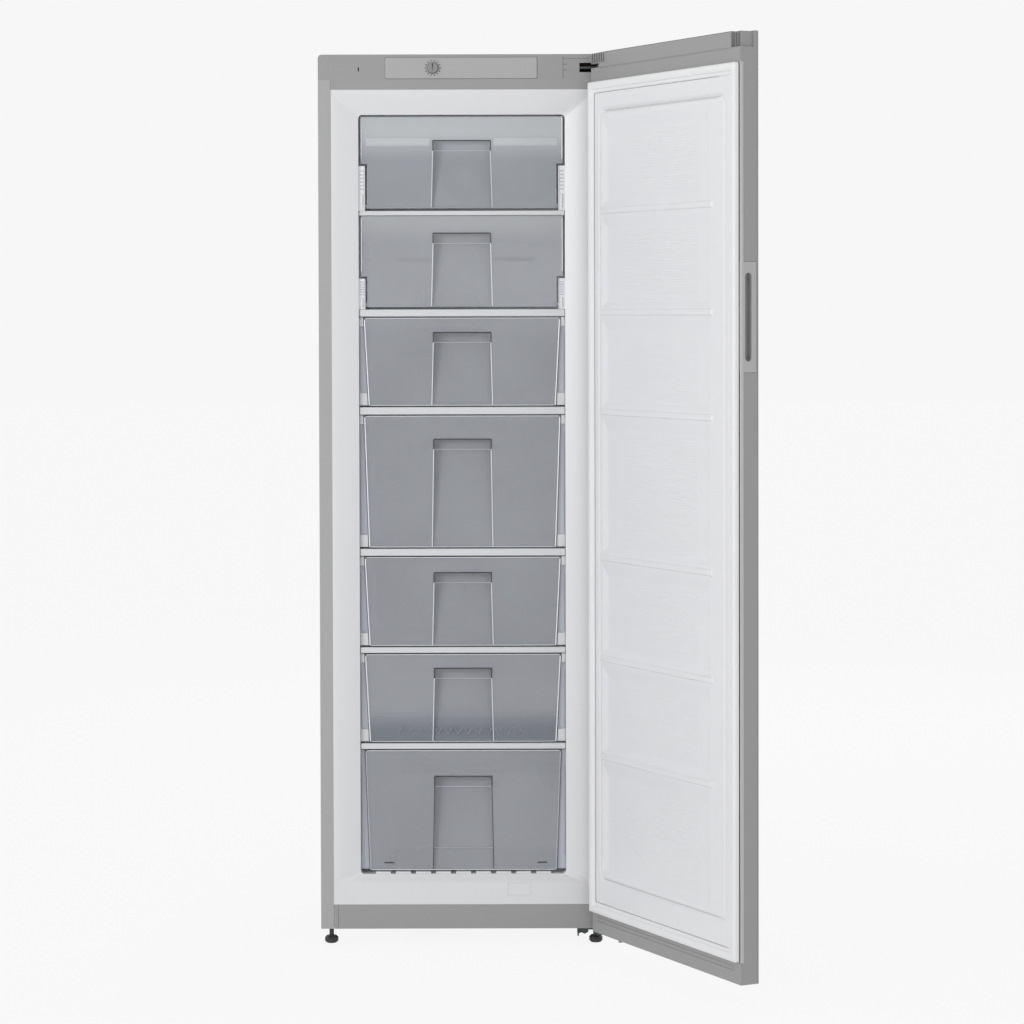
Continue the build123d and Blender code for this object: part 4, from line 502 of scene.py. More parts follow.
def relief(name, xs, zs, height, y_base, y_back):
    """A closed slab: its face is lifted from y_base by height(x, z), its back is flat at y_back."""
    grid_x, grid_z = np.meshgrid(xs, zs)
    lifted = np.stack([grid_x, y_base + height(grid_x, grid_z), grid_z], axis=-1).reshape(-1, 3)
    across, up = len(xs), len(zs)
    at = np.arange(across * up).reshape(up, across)
    faces = np.stack([at[:-1, :-1], at[:-1, 1:], at[1:, 1:], at[1:, :-1]], axis=-1).reshape(-1, 4).tolist()
    rim = [*at[0, :], *at[1:, -1], *at[-1, -2::-1], *at[-2:0:-1, 0]]
    first = across * up
    skirt = [(lifted[i][0], y_back, lifted[i][2]) for i in rim]
    for k in range(len(rim)):
        after = (k + 1) % len(rim)
        faces.append([int(rim[k]), int(rim[after]), first + after, first + k])
    faces.append(list(range(first, first + len(rim))))
    return shade(mesh_piece(name, [*lifted.tolist(), *skirt], faces), 60)


def rounded_loop(half, low, high, radius, turns=6):
    """Corner points of a rounded rectangle, as (x, z) pairs."""
    corners = [(half - radius, low + radius, -90), (half - radius, high - radius, 0),
               (-half + radius, high - radius, 90), (-half + radius, low + radius, 180)]
    return [(x + radius * cos(radians(start + 90 * i / turns)), z + radius * sin(radians(start + 90 * i / turns)))
            for x, z, start in corners for i in range(turns + 1)]


def ring(name, half, low, high, radius, section, y_base, toward=1):
    """A closed section of (inward, outward) pairs, carried round a rounded rectangle."""
    loops = [[(x, y_base + toward * out, z)
              for x, z in rounded_loop(half - inward, low + inward, high - inward, max(radius - inward, 0.4))]
             for inward, out in section]
    around, count = len(loops[0]), len(loops)
    faces = [[i * around + k, i * around + (k + 1) % around,
              (i + 1) % count * around + (k + 1) % around, (i + 1) % count * around + k]
             for i in range(count) for k in range(around)]
    return shade(mesh_piece(name, [point for loop in loops for point in loop], faces), 50)


def prism(name, outline, near, far, edge=0.4):
    """An outline of (x, z) pairs, seen from the front, given a depth along y and rounded edges."""
    turned = sum(a[0] * b[1] - b[0] * a[1] for a, b in zip(outline, outline[1:] + outline[:1]))
    outline = outline if turned > 0 else outline[::-1]
    count = len(outline)
    faces = [list(range(count)), list(range(2 * count - 1, count - 1, -1))]
    faces += [[(k + 1) % count, k, count + k, count + (k + 1) % count] for k in range(count)]
    piece = mesh_piece(name, [(x, y, z) for y in (near, far) for x, z in outline], faces)
    round_off = piece.modifiers.new("edges", "BEVEL")
    round_off.width = edge * MM
    round_off.segments = 2
    return shade(plain_mesh(piece), 50)


def plate(name, low_x, high_x, low_z, high_z, near, far, edge=0.4):
    """A prism between two corners."""
    return prism(name, [(low_x, low_z), (high_x, low_z), (high_x, high_z), (low_x, high_z)], near, far, edge)


def bead(name, y, paths, radius, closed=False):
    """Thin round lines along paths of (x, z) pairs, all at one depth."""
    curve = bpy.data.curves.new(name, "CURVE")
    curve.dimensions = "3D"
    curve.bevel_depth = radius * MM
    curve.bevel_resolution = 2
    curve.use_fill_caps = True
    for path in paths:
        spline = curve.splines.new("POLY")
        spline.points.add(len(path) - 1)
        for place, (x, z) in zip(spline.points, path):
            place.co = (x * MM, y * MM, z * MM, 1)
        spline.use_cyclic_u = closed
    return shade(plain_mesh(new_piece(name, curve)))


def finished(piece, material, body, slot, *stands_for):
    """Paint a made piece and settle it. What belongs to the door is made for the shut door, and swings here."""
    if body == "door":
        piece.data.transform(DOOR_TURN)
    paint(piece, material)
    settle(piece, body, slot, *stands_for)
    print(piece.name, len(piece.data.polygons), "faces")


def fine_line(name, y, paths, radius, material, body, slot, closed=False):
    """A finished bead."""
    finished(bead(name, y, paths, radius, closed), material, body, slot)


# %% [markdown]
# ## Trees that repeat a small form
# Ribs, wires, dial marks and rivets are one small form many times over, which is what Geometry Nodes are for. Each
# tree has named inputs, so that one tree serves many places. It ends by making the copies real and giving them
# their material, and the result is turned into a plain mesh.

# %% Trees: a row of bars, a ring of marks, heads on points
def new_tree(name, *inputs):
    """An empty geometry tree with the named inputs and one geometry output."""
    tree = bpy.data.node_groups.new(name, "GeometryNodeTree")
    for label, kind in inputs:
        tree.interface.new_socket(label, in_out="INPUT", socket_type=kind)
    tree.interface.new_socket("Geometry", in_out="OUTPUT", socket_type="NodeSocketGeometry")
    return tree, tree.nodes.new("NodeGroupInput"), tree.nodes.new("NodeGroupOutput")


def end_tree(tree, inside, out, last):
    """Make the copies real, and give them the material."""
    real = node(tree, "GeometryNodeRealizeInstances")
    painted = node(tree, "GeometryNodeSetMaterial")
    tree.links.new(last, real.inputs["Geometry"])
    wire(tree, (real, "Geometry", painted, "Geometry"), (inside, "Material", painted, "Material"),
               (painted, "Geometry", out, "Geometry"))
    return tree


INT, GEOMETRY, MATERIAL = "NodeSocketInt", "NodeSocketGeometry", "NodeSocketMaterial"


def bar_in(tree, inside):
    """A round bar through the origin, from minus Reach to Reach."""
    back = node(tree, "ShaderNodeVectorMath", operation="SCALE", Scale=-1.0)
    line = node(tree, "GeometryNodeCurvePrimitiveLine")
    section = node(tree, "GeometryNodeCurvePrimitiveCircle", Resolution=8)
    bar = node(tree, "GeometryNodeCurveToMesh", Fill_Caps=True)
    wire(tree, (inside, "Reach", back, 0), (back, 0, line, "Start"), (inside, "Reach", line, "End"),
               (inside, "Thick", section, "Radius"), (line, "Curve", bar, "Curve"),
               (section, "Curve", bar, "Profile Curve"))
    return bar.outputs["Mesh"]


def row_tree():
    tree, inside, out = new_tree("row_of_bars", ("Count", INT), ("Start", VECTOR), ("Step", VECTOR),
                                 ("Reach", VECTOR), ("Thick", FLOAT), ("Material", MATERIAL))
    row = node(tree, "GeometryNodeMeshLine", mode="OFFSET")
    copies = node(tree, "GeometryNodeInstanceOnPoints")
    wire(tree, (inside, "Count", row, "Count"), (inside, "Start", row, "Start Location"),
               (inside, "Step", row, "Offset"), (row, "Mesh", copies, "Points"))
    tree.links.new(bar_in(tree, inside), copies.inputs["Instance"])
    return end_tree(tree, inside, out, copies.outputs["Instances"])


def mark_tree():
    tree, inside, out = new_tree("ring_of_marks", ("Count", INT), ("Radius", FLOAT), ("Reach", VECTOR),
                                 ("Thick", FLOAT), ("Centre", VECTOR), ("Material", MATERIAL))
    circle = node(tree, "GeometryNodeMeshCircle")
    place = node(tree, "GeometryNodeInputPosition")
    turned = node(tree, "FunctionNodeAlignRotationToVector", axis="X")
    copies = node(tree, "GeometryNodeInstanceOnPoints")
    stand = node(tree, "GeometryNodeTransform")
    stand.inputs["Rotation"].default_value = (pi / 2, 0, 0)
    wire(tree, (inside, "Count", circle, "Vertices"), (inside, "Radius", circle, "Radius"),
               (place, "Position", turned, "Vector"), (circle, "Mesh", copies, "Points"))
    tree.links.new(bar_in(tree, inside), copies.inputs["Instance"])
    wire(tree, (turned, "Rotation", copies, "Rotation"), (copies, "Instances", stand, "Geometry"),
               (inside, "Centre", stand, "Translation"))
    return end_tree(tree, inside, out, stand.outputs["Geometry"])


def head_tree():
    tree, inside, out = new_tree("heads_on_points", ("Points", GEOMETRY), ("Radius", FLOAT), ("Squash", VECTOR),
                                 ("Material", MATERIAL))
    head = node(tree, "GeometryNodeMeshUVSphere", Segments=16, Rings=8)
    copies = node(tree, "GeometryNodeInstanceOnPoints")
    wire(tree, (inside, "Radius", head, "Radius"), (inside, "Points", copies, "Points"),
               (head, "Mesh", copies, "Instance"), (inside, "Squash", copies, "Scale"))
    return end_tree(tree, inside, out, copies.outputs["Instances"])


ROW, MARKS, HEADS = row_tree(), mark_tree(), head_tree()


def grow(name, tree, points=(), **values):
    """A plain mesh grown by a tree. Lengths and places come in millimetres."""
    piece = mesh_piece(name, points, [])
    maker = piece.modifiers.new("grow", "NODES")
    maker.node_group = tree
    for item in tree.interface.items_tree:
        value = values.get(item.name)
        if isinstance(value, float):
            value *= MM
        elif isinstance(value, tuple) and item.name != "Squash":
            value = [part * MM for part in value]
        if value is not None:
            maker[item.identifier] = value
    return shade(plain_mesh(piece))


def join(name, pieces):
    """Several made pieces as one mesh with one material."""
    work = bmesh.new()
    for piece in pieces:
        work.from_mesh(piece.data)
        bpy.data.objects.remove(piece)
    mesh = bpy.data.meshes.new(name)
    work.to_mesh(mesh)
    work.free()
    return shade(new_piece(name, mesh))


# %% [markdown]
# ## The door's inner panel
# One sheet of white plastic is drawn over a mould: a raised field inside the seal, a shallow line round it, and
# seven dished cells with a ridge between each two, level with the shelves of the cabinet. A grid lifted by a rule
# gives exactly that, with the soft corners of a drawn sheet. The panel is worked out for the shut door, where it
# lies square to the axes, and then turned about the hinge pins by the door's own angle.

# %% The door's turn
door_joint = next(joint for joint in frame["joints"] if joint["name"] == "door_hinge")
hinge_at = Matrix.Translation(Vector(door_joint["pos_m"]))
DOOR_TURN = hinge_at @ Matrix.Rotation(radians(-door_joint["range_deg"][0]), 4, "Z") @ hinge_at.inverted()
DOOR_Y = -295.5                     # the shut door's inner face
print("the door stands open by", round(-door_joint["range_deg"][0]), "degrees")

# %% Inner panel
PANEL_HALF, PANEL_LOW, PANEL_HIGH = 288.1, 74.5, 1794.0
FIELD_HALF, FIELD_LOW, FIELD_HIGH, FIELD_RISE, FIELD_R = 276.0, 93.0, 1775.5, 5.0, 7.0
LINE_HALF, LINE_LOW, LINE_HIGH, LINE_DEEP, LINE_SOFT, LINE_R = 250.0, 150.5, 1732.0, 1.8, 3.4, 14.0
TOP_DEEP, TOP_SOFT, FOOT_DEEP, FOOT_SOFT = 3.4, 5.5, 1.8, 2.8     # the line is deeper along its two level runs
LINE_RUNOUT = 30                                                  # and these fade out towards the corners
CELL_FREE, CELL_HINGE, CELL_DEEP = -191.0, 246.0, 4.6
CELL_LOWEST, CELL_HIGHEST = 162.5, 1720.0
SLOPES = dict(free=8.0, hinge=30.0, foot=16.0, top=34.0)
RIDGES = [1526.8, 1318.9, 1114.7, 814.9, 607.1, 404.5]
RIDGE_HALF, RIDGE_RISE, RIDGE_FREE, RIDGE_SLOPE, SHEET = 7.75, 3.0, -205.0, 2.6, 2.0
cell_tops = [CELL_HIGHEST] + [middle - RIDGE_HALF for middle in RIDGES]
cell_feet = [middle + RIDGE_HALF for middle in RIDGES] + [CELL_LOWEST]


def inside_by(x, z, half, low, high, radius):
    """How far a point lies inside a rounded rectangle."""
    over_x = np.abs(x) - (half - radius)
    over_z = np.abs(z - (low + high) / 2) - ((high - low) / 2 - radius)
    outside = np.hypot(np.maximum(over_x, 0), np.maximum(over_z, 0))
    return radius - outside - np.minimum(np.maximum(over_x, over_z), 0)


def panel_height(x, z):
    height = SHEET + FIELD_RISE * ease(inside_by(x, z, FIELD_HALF, FIELD_LOW, FIELD_HIGH, FIELD_R) / FIELD_R)
    from_line = inside_by(x, z, LINE_HALF, LINE_LOW, LINE_HIGH, LINE_R)
    height = height - LINE_DEEP * np.exp(-(from_line / LINE_SOFT) ** 2)
    for middle, deep, soft in ((LINE_HIGH, TOP_DEEP, TOP_SOFT), (LINE_LOW, FOOT_DEEP, FOOT_SOFT)):
        height = height - deep * ease((LINE_HALF - np.abs(x)) / LINE_RUNOUT) * np.exp(-((z - middle) / soft) ** 2)
    for low, high in zip(cell_feet, cell_tops):
        share = np.minimum(np.minimum((x - CELL_FREE) / SLOPES["free"], (CELL_HINGE - x) / SLOPES["hinge"]),
                           np.minimum((z - low) / SLOPES["foot"], (high - z) / SLOPES["top"]))
        height = height - CELL_DEEP * ease(share)
    for middle in RIDGES:
        from_side = np.minimum(np.minimum(x - RIDGE_FREE, CELL_HINGE - x), RIDGE_HALF - 0.6 - np.abs(z - middle))
        height = height + RIDGE_RISE * ease(from_side / RIDGE_SLOPE)
    return height


panel_xs = places(-PANEL_HALF, PANEL_HALF, 24.0, (-277, -268, 1.0), (-257, -243, 1.0), (-207, -181, 1.0),
                  (215, 246, 2.5), (246, 257, 1.0), (268, 277, 1.0))
panel_zs = places(PANEL_LOW, PANEL_HIGH, 24.0, (92, 101, 1.0), (143, 158, 1.0), (162, 180, 2.0),
                  *((middle - 42, middle - 9, 3.0) for middle in RIDGES),
                  *((middle - 9, middle + 9, 0.9) for middle in RIDGES),
                  *((middle + 9, middle + 25, 2.0) for middle in RIDGES),
                  (1686, 1722, 3.0), (1722, 1742, 1.0), (1768, 1777, 1.0))
inner_panel = relief("door_inner_panel", panel_xs, panel_zs, panel_height, DOOR_Y, DOOR_Y - 0.7)
finished(inner_panel, lit_door_white, "door", "white_liner", "door_liner")

# %% Fine ribs on the floor of each cell
RIB_PITCH, RIB_THICK, RIB_FROM, RIB_TO, RIB_CLEAR, RIB_SUNK = 5.2, 0.8, -142.0, 156.0, 3, 0.3
cell_floor = DOOR_Y + SHEET + FIELD_RISE - CELL_DEEP
rib_rows = []
for low, high in zip(cell_feet, cell_tops):
    bottom, top = low + SLOPES["foot"] + RIB_CLEAR, high - SLOPES["top"] - RIB_CLEAR
    count = int((top - bottom) / RIB_PITCH)
    rib_rows.append(grow("rib_row", ROW, Count=count, Start=((RIB_FROM + RIB_TO) / 2, cell_floor - RIB_SUNK, bottom),
                         Step=(0.0, 0.0, (top - bottom) / (count - 1)), Reach=((RIB_TO - RIB_FROM) / 2, 0.0, 0.0),
                         Thick=RIB_THICK, Material=lit_door_white))
finished(join("door_cell_ribs", rib_rows), lit_door_white, "door", "white_liner")

# %% [markdown]
# ## The seal
# The white seal is a hollow rubber extrusion with a magnet in its flat lip, mitred at the corners. Its section is a
# flat crown, a fold that lets the magnet reach the cabinet, and a thin inner lip on the panel. The section is drawn
# once and carried round the door.

# %% Door seal
SEAL_HALF, SEAL_LOW, SEAL_HIGH, SEAL_R = 294.0, 75.0, 1793.5, 4.0
SEAL_SECTION = [(0.0, 2.1), (0.0, 8.6), (0.8, 10.6), (2.6, 11.6), (8.0, 11.9), (13.6, 11.6), (15.4, 10.4),
                (16.0, 9.0), (16.4, 8.0), (17.4, 7.4), (18.8, 8.0), (20.6, 7.9), (22.4, 7.0), (23.0, 2.1)]
door_seal = ring("door_seal", SEAL_HALF, SEAL_LOW, SEAL_HIGH, SEAL_R, SEAL_SECTION, DOOR_Y)
finished(door_seal, seal, "door", "seal_rubber", "door_gasket")

# %% [markdown]
# ## Shade in the joints of the door's inside
# Where the seal's lip meets the panel, and on the floors of the panel's two level grooves, the real door is a
# little darker. A shadow alone is too weak there, so thin beads of a darker finish lie in the joint and in the
# grooves. The upright joints are wider than the level ones, so they are two pieces.

# %% The line where the seal's lip meets the panel
LIP_IN, LIP_OUT = 23.8, 7.0         # in from the seal's rim, and out from the door's face
LIP_CORNER, FOOT_SHORT, TOP_SHORT = 3, 12, 40
lip_x, lip_low, lip_high = SEAL_HALF - LIP_IN, SEAL_LOW + LIP_IN, SEAL_HIGH - LIP_IN
lip_level = [[(-lip_x + FOOT_SHORT, lip_low), (lip_x - LIP_CORNER, lip_low)],
             [(-lip_x + TOP_SHORT, lip_high), (lip_x - LIP_CORNER, lip_high)]]
lip_upright = [[(lip_x - LIP_CORNER, lip_low), (lip_x - 1, lip_low + 1), (lip_x, lip_low + 4), (lip_x, lip_high - 4),
                (lip_x - 1, lip_high - 1), (lip_x - LIP_CORNER, lip_high)]]
for label, paths, thick in (("level", lip_level, 0.4), ("upright", lip_upright, 1.1)):
    fine_line(f"door_seal_{label}_line", DOOR_Y + LIP_OUT, paths, thick, seal_lip_shade, "door", "seal_rubber")

# %% Shaded floors of the two level grooves
GROOVES = (("top_line", LINE_HIGH, 0.3, 3.2), ("foot_line", LINE_LOW, 3.6, 1.1))     # height, out, radius
FREE_SHORT, HINGE_SHORT = 18, 4
grooves = [bead(name, DOOR_Y + out, [[(-LINE_HALF + FREE_SHORT, z), (LINE_HALF - HINGE_SHORT, z)]], radius)
           for name, z, out, radius in GROOVES]
finished(join("door_field_lines", grooves), door_shade, "door", "white_liner")

# %% [markdown]
# ## The folded edge and the pocket block of the door
# The skin is folded over along the free edge, and the fold catches more light than the flat of the edge: a strip of
# paler paint along it is that painted highlight. At the hinge end the upper cap carries a ribbed block over the arm.
# The block is a plate with one bar repeated on it.

# %% Fold of the free edge, as a strip of painted highlight
EDGE_X, CAP_TOP, CAP_FOOT = -297.5, 1854.0, 1794.0
FOLD_X, FOLD_DEEP, FOLD_EDGE = (EDGE_X - 0.3, EDGE_X + 2.0), (DOOR_Y - 6.5, DOOR_Y + 0.3), 0.25
fold_highlight_strip = plate("door_edge_fold_highlight", *FOLD_X, PANEL_LOW, CAP_FOOT, *FOLD_DEEP, FOLD_EDGE)
finished(fold_highlight_strip, fold_highlight_paint, "door", "grey_steel")

# %% Ribbed block of the upper cap
BLOCK_X, BLOCK_FOOT, BLOCK_DEEP, CAP_IN = (232.0, 296.0), 1831.5, (DOOR_Y - 6.0, DOOR_Y + 1.0), 0.6
BLOCK_RIBS, FIRST_RIB, RIB_APART = 6, 9, 9.6
cap_block = plate("cap_block", *BLOCK_X, BLOCK_FOOT, CAP_TOP - CAP_IN, *BLOCK_DEEP)
finished(cap_block, shaded_door_paint, "door", "grey_plastic")
first_rib = (BLOCK_X[0] + FIRST_RIB, DOOR_Y + 0.9, (BLOCK_FOOT + CAP_TOP) / 2)
block_ribs = grow("cap_block_ribs", ROW, Count=BLOCK_RIBS, Start=first_rib, Step=(RIB_APART, 0.0, 0.0),
                  Reach=(0.0, 0.0, (CAP_TOP - BLOCK_FOOT) / 2 - 2), Thick=2.0, Material=shade_paint)
finished(block_ribs, shade_paint, "door", "grey_plastic")

# %% Lines along the door's outer edge and along the cap, dark as painted shade
EDGE_LINE_Y, LINE_THICK = DOOR_Y - 36.5, 0.6
edge_line = [[(EDGE_X + 0.4, 33.0), (EDGE_X + 0.4, 1853.0)]]
fine_line("door_edge_line", EDGE_LINE_Y, edge_line, LINE_THICK, seam_and_shade_paint, "door", "grey_steel")
cap_line = [[(-262, CAP_TOP - CAP_IN), (230, CAP_TOP - CAP_IN)]]
fine_line("cap_edge_line", DOOR_Y - 0.2, cap_line, LINE_THICK, shade_paint, "door", "grey_plastic")

# %% [markdown]
# ## The grip in the door's edge
# A plastic insert with a long slot stands in for a handle. Fingers catch behind its front lip, where the moulding
# has fine ribs. They are one bar repeated along the slot.

# %% Ribs in the grip
# The ribs are dark, a painted shade that darkens the slot behind the lip.
GRIP_MIDDLE, GRIP_SLOT, GRIP_BACK_X, GRIP_Y, GRIP_RIBS = 1309.0, 150.0, -281.0, -313.5, 31
grip_ribs = grow("door_grip_ribs", ROW, Count=GRIP_RIBS, Start=(GRIP_BACK_X, GRIP_Y, GRIP_MIDDLE - GRIP_SLOT / 2),
                 Step=(0.0, 0.0, GRIP_SLOT / (GRIP_RIBS - 1)), Reach=(0.0, 5.0, 0.0), Thick=0.45,
                 Material=seam_and_shade_paint)
finished(grip_ribs, seam_and_shade_paint, "door", "grey_plastic")

# %% [markdown]
# ## Clear fronts
# The flaps and drawers are moulded in clear plastic. What makes such a front readable is its edges: the rim and the
# sides of the finger recess gather light and show as pale lines, and the lip of the recess shows as a dark one. So
# each front carries thin rounded beads along its rim and its recess, in paler and darker versions of the plastic:
# painted highlights and painted shade.

# %% Finishes of the lines: a pale one for painted highlights, darker ones for painted shade, and the guides' own blue grey
CLEAR_MOULDED = (300.0, 0.0001, 0.15)
edge_highlight_plastic = finish("edge_highlight_plastic", (0.84, 0.86, 0.88), 0.22, drift=0.05, grain=CLEAR_MOULDED)
shade_plastic = finish("shade_plastic", (0.035, 0.037, 0.04), 0.3, drift=0.05, grain=CLEAR_MOULDED)
guide_plastic = finish("guide_plastic", (0.52, 0.54, 0.60), 0.3, drift=0.2, grain=CLEAR_MOULDED)
rim_shade = finish("rim_shade", (0.42, 0.43, 0.45), 0.3, drift=0.05, grain=CLEAR_MOULDED)
wave_shade = finish("wave_shade", (0.25, 0.26, 0.285), 0.3, drift=0.05, grain=CLEAR_MOULDED)

# %% Lines on the fronts
GRIP_HALF, GRIP_FLARE, GRIP_BAND = 60.0, 3.5, 21.0
GRIP_DROP = dict(flap_1=49.9, flap_2=36.1, drawer_1_front=31.0, drawer_2_front=49.5, drawer_3_front=33.0,
                 drawer_4_front=30.0, drawer_5_front=55.4)
FLAP_SIDE_FOOT = dict(flap_1=102, flap_2=73)        # a flap's sides end this far up, above the cheeks
TAPER = 9.5                         # a drawer is narrower by this on each side at its foot
RIM_IN, FACE_IN, RIM_SHORT = 1.2, 0.2, 3


def corner_box(name):
    """A node's lowest and highest corner in millimetres."""
    low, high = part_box(name)
    return low / MM, high / MM


for name, drop in GRIP_DROP.items():
    low, high = corner_box(name)
    body, slot = body_of_node[name], "clear_front"
    is_flap, lowest = name.startswith("flap"), name == "drawer_5_front"
    half, face = high.x - RIM_IN, low.y + FACE_IN
    foot_half = half - (0 if is_flap else TAPER)
    top, foot = high.z - RIM_IN, low.z + RIM_IN
    side_foot = foot + FLAP_SIDE_FOOT.get(name, 0)
    rim = [[(side * foot_half, side_foot), (side * half, top - RIM_SHORT)] for side in (-1, 1)]
    fine_line(f"{name}_side_beads", face, rim, 0.9 if is_flap or lowest else 1.3,
              guide_plastic if lowest else edge_highlight_plastic, body, slot)
    levels = [[(-reach + RIM_SHORT, z), (reach - RIM_SHORT, z)] for reach, z in ((half, top), (foot_half, foot))]
    fine_line(f"{name}_rim_lines", face, levels, 0.4 if is_flap else 0.6,
              rim_shade if is_flap else edge_highlight_plastic, body, slot)
    recess = high.z - drop
    band = recess - GRIP_BAND
    sides = [[(side * GRIP_HALF, band), (side * (GRIP_HALF + GRIP_FLARE), low.z + 2)] for side in (-1, 1)]
    # The recess sides are painted highlights, fainter on flap 1, and painted shade on the lowest drawer.
    side_finish = shade_plastic if lowest else trim_white if name == "flap_1" else edge_highlight_plastic
    fine_line(f"{name}_recess_sides", face, sides, 0.8, side_finish, body, slot)
    lip = [[(-GRIP_HALF, recess), (GRIP_HALF, recess)],
           *[[(side * GRIP_HALF, recess), (side * GRIP_HALF, band)] for side in (-1, 1)]]
    fine_line(f"{name}_recess_lines", face, lip, 1.3, shade_plastic, body, slot)
    under = [[(-GRIP_HALF + 2, band), (GRIP_HALF - 2, band)]]
    fine_line(f"{name}_band_line", face + 0.1, under, 0.3, trim_white, body, slot)

# %% The upper flap's stiffening ribs, in a pale plastic that paints their highlight
low, high = corner_box("flap_1")
GLINT_Z, GLINT_R, GLINT_OUT, GLINT_FROM, GLINT_TO = 1675.0, 8.0, 0.8, 70, 196
glints = [[(side * GLINT_FROM, GLINT_Z), (side * GLINT_TO, GLINT_Z)] for side in (-1, 1)]
fine_line("flap_1_ribs", low.y + GLINT_R - GLINT_OUT, glints, GLINT_R, glint, "flap_1", "clear_front")
swells = [plate("swell", side * (GLINT_FROM - 3), side * (GLINT_TO + 3), GLINT_Z - GLINT_R, GLINT_Z + GLINT_R,
                low.y - 0.5, low.y + 2) for side in (-1, 1)]
finished(join("flap_1_swells", swells), glint, "flap_1", "clear_front")

# %% [markdown]
# ## Guides beside the drawers
# A drawer tapers towards its foot, so that it leaves the mould, and the gap beside it is filled by a guide on the
# wall: a bluish strip with a dark slot, and a pale stop block at its top and foot. The outlines follow the taper.

# %% Guides, stops and slots
WALL_X, GUIDE_GAP, GUIDE_FRONT, STOP_TALL, TOP_STOP_TALL = 214.6, 1.6, -252.0, 26.0, 18
SLOT_IN, SLOT_UP, SLOT_DOWN = 2.2, 6, 34        # a slot's place: from the wall, over the lower stop, from the top


def beside(low, high, side, bottom, top):
    """The outline of the gap beside a drawer between two heights."""
    def inner(z):
        return high.x + GUIDE_GAP - TAPER * (high.z - z) / (high.z - low.z)
    return [(side * inner(bottom), bottom), (side * WALL_X, bottom), (side * WALL_X, top), (side * inner(top), top)]


strips, stops, slots = [], [], []
for number in range(1, 6):
    low, high = corner_box(f"drawer_{number}_front")
    for side in (-1, 1):
        strips.append(prism("strip", beside(low, high, side, low.z + 2, high.z), GUIDE_FRONT, GUIDE_FRONT + 10))
        if number < 5:
            for bottom, top in ((low.z + 1, low.z + 1 + STOP_TALL), (high.z - TOP_STOP_TALL, high.z + 1)):
                outline = beside(low, high, side, bottom, top)
                stops.append(prism("stop", outline, GUIDE_FRONT - 5, GUIDE_FRONT + 6, 1.2))
        x = side * (WALL_X - SLOT_IN)
        slots.append([(x, low.z + STOP_TALL + SLOT_UP), (x, high.z - SLOT_DOWN)])
finished(join("drawer_guides", strips), guide_plastic, "cabinet", "white_trim")
finished(join("drawer_stops", stops), trim_white, "cabinet", "white_trim")
fine_line("guide_slots", GUIDE_FRONT - 0.2, slots, 0.9, rim_shade, "cabinet", "white_trim")

# %% [markdown]
# ## Cheeks beside the flaps
# The pale clips that hold a flap are stepped and ribbed, so that they spring over the pin. A raised pad and a row of
# ribs stand on each clip's face.

# %% Pads and ribs of the cheeks
CHEEK_W, CHEEK_FACE = 13.5, corner_box("flap_brackets")[0].y
CHEEK_MIDDLE, CHEEK_INNER = 215.0 - CHEEK_W / 2, 203.4
CHEEKS = ((1531.6, 93.8), (1326.3, 64.6))       # foot and height of each pair
CHEEK_RIBS, RIBS_FROM, RIBS_APART, PAD_UP_TO = 6, 0.48, 0.08, 0.38     # the last three are shares of that height
for row, (foot, tall) in enumerate(CHEEKS):
    ribs, pads = [], []
    for side in (-1, 1):
        x = side * CHEEK_MIDDLE
        ribs.append(grow("cheek_row", ROW, Count=CHEEK_RIBS, Start=(x, CHEEK_FACE - 0.1, foot + tall * RIBS_FROM),
                         Step=(0.0, 0.0, tall * RIBS_APART), Reach=(CHEEK_W / 2 - 2.5, 0.0, 0.0), Thick=1.1,
                         Material=guide_plastic))
        edge = [(side * CHEEK_INNER, foot + 2), (side * CHEEK_INNER, foot + tall)]
        ribs.append(bead("cheek_line", CHEEK_FACE, [edge], 0.7))
        pad = [(x, foot + 4), (x, foot + tall * PAD_UP_TO)]
        pads.append(bead("cheek_pad", CHEEK_FACE + 0.5, [pad], CHEEK_W / 2 - 3.5))
    finished(join(f"cheek_ribs_{row + 1}", ribs), guide_plastic, "cabinet", "white_trim")
    finished(join(f"cheek_pads_{row + 1}", pads), trim_white, "cabinet", "white_trim")

# %% [markdown]
# ## A fold in the air duct
# The duct panel behind the flaps is stiffened by a fold under its top edge, which shows through the clear flap as a
# pale band. It is one bead, flattened by sinking half of it into the panel.

# %% Fold of the duct panel
DUCT_FACE, FOLD_Z, FOLD_HALF, FOLD_R = 162.0, 1700.0, 196.0, 5.0
fold = [[(-FOLD_HALF, FOLD_Z), (FOLD_HALF, FOLD_Z)]]
fine_line("duct_fold", DUCT_FACE, fold, FOLD_R, white_trim, "cabinet", "white_trim")

# %% [markdown]
# ## The dial
# The knob turns over a ring of short plain marks on the silver panel, in a groove, and carries a pointer. The marks
# are one bar repeated round a circle. The pointer rides on the knob, so that it turns with it.

# %% Dial marks, the groove's painted shade, and pointer
KNOB_X, KNOB_Z, PANEL_FACE, KNOB_FACE = -59.0, 1826.8, -284.0, -291.3
GROOVE_R, GROOVE_STEPS = 11.3, 40
dial = grow("dial_marks", MARKS, Count=14, Radius=15.2, Reach=(1.6, 0.0, 0.0), Thick=0.7,
            Centre=(KNOB_X, PANEL_FACE - 0.2, KNOB_Z), Material=black_plastic)
finished(dial, black_plastic, "cabinet", "black_plastic")
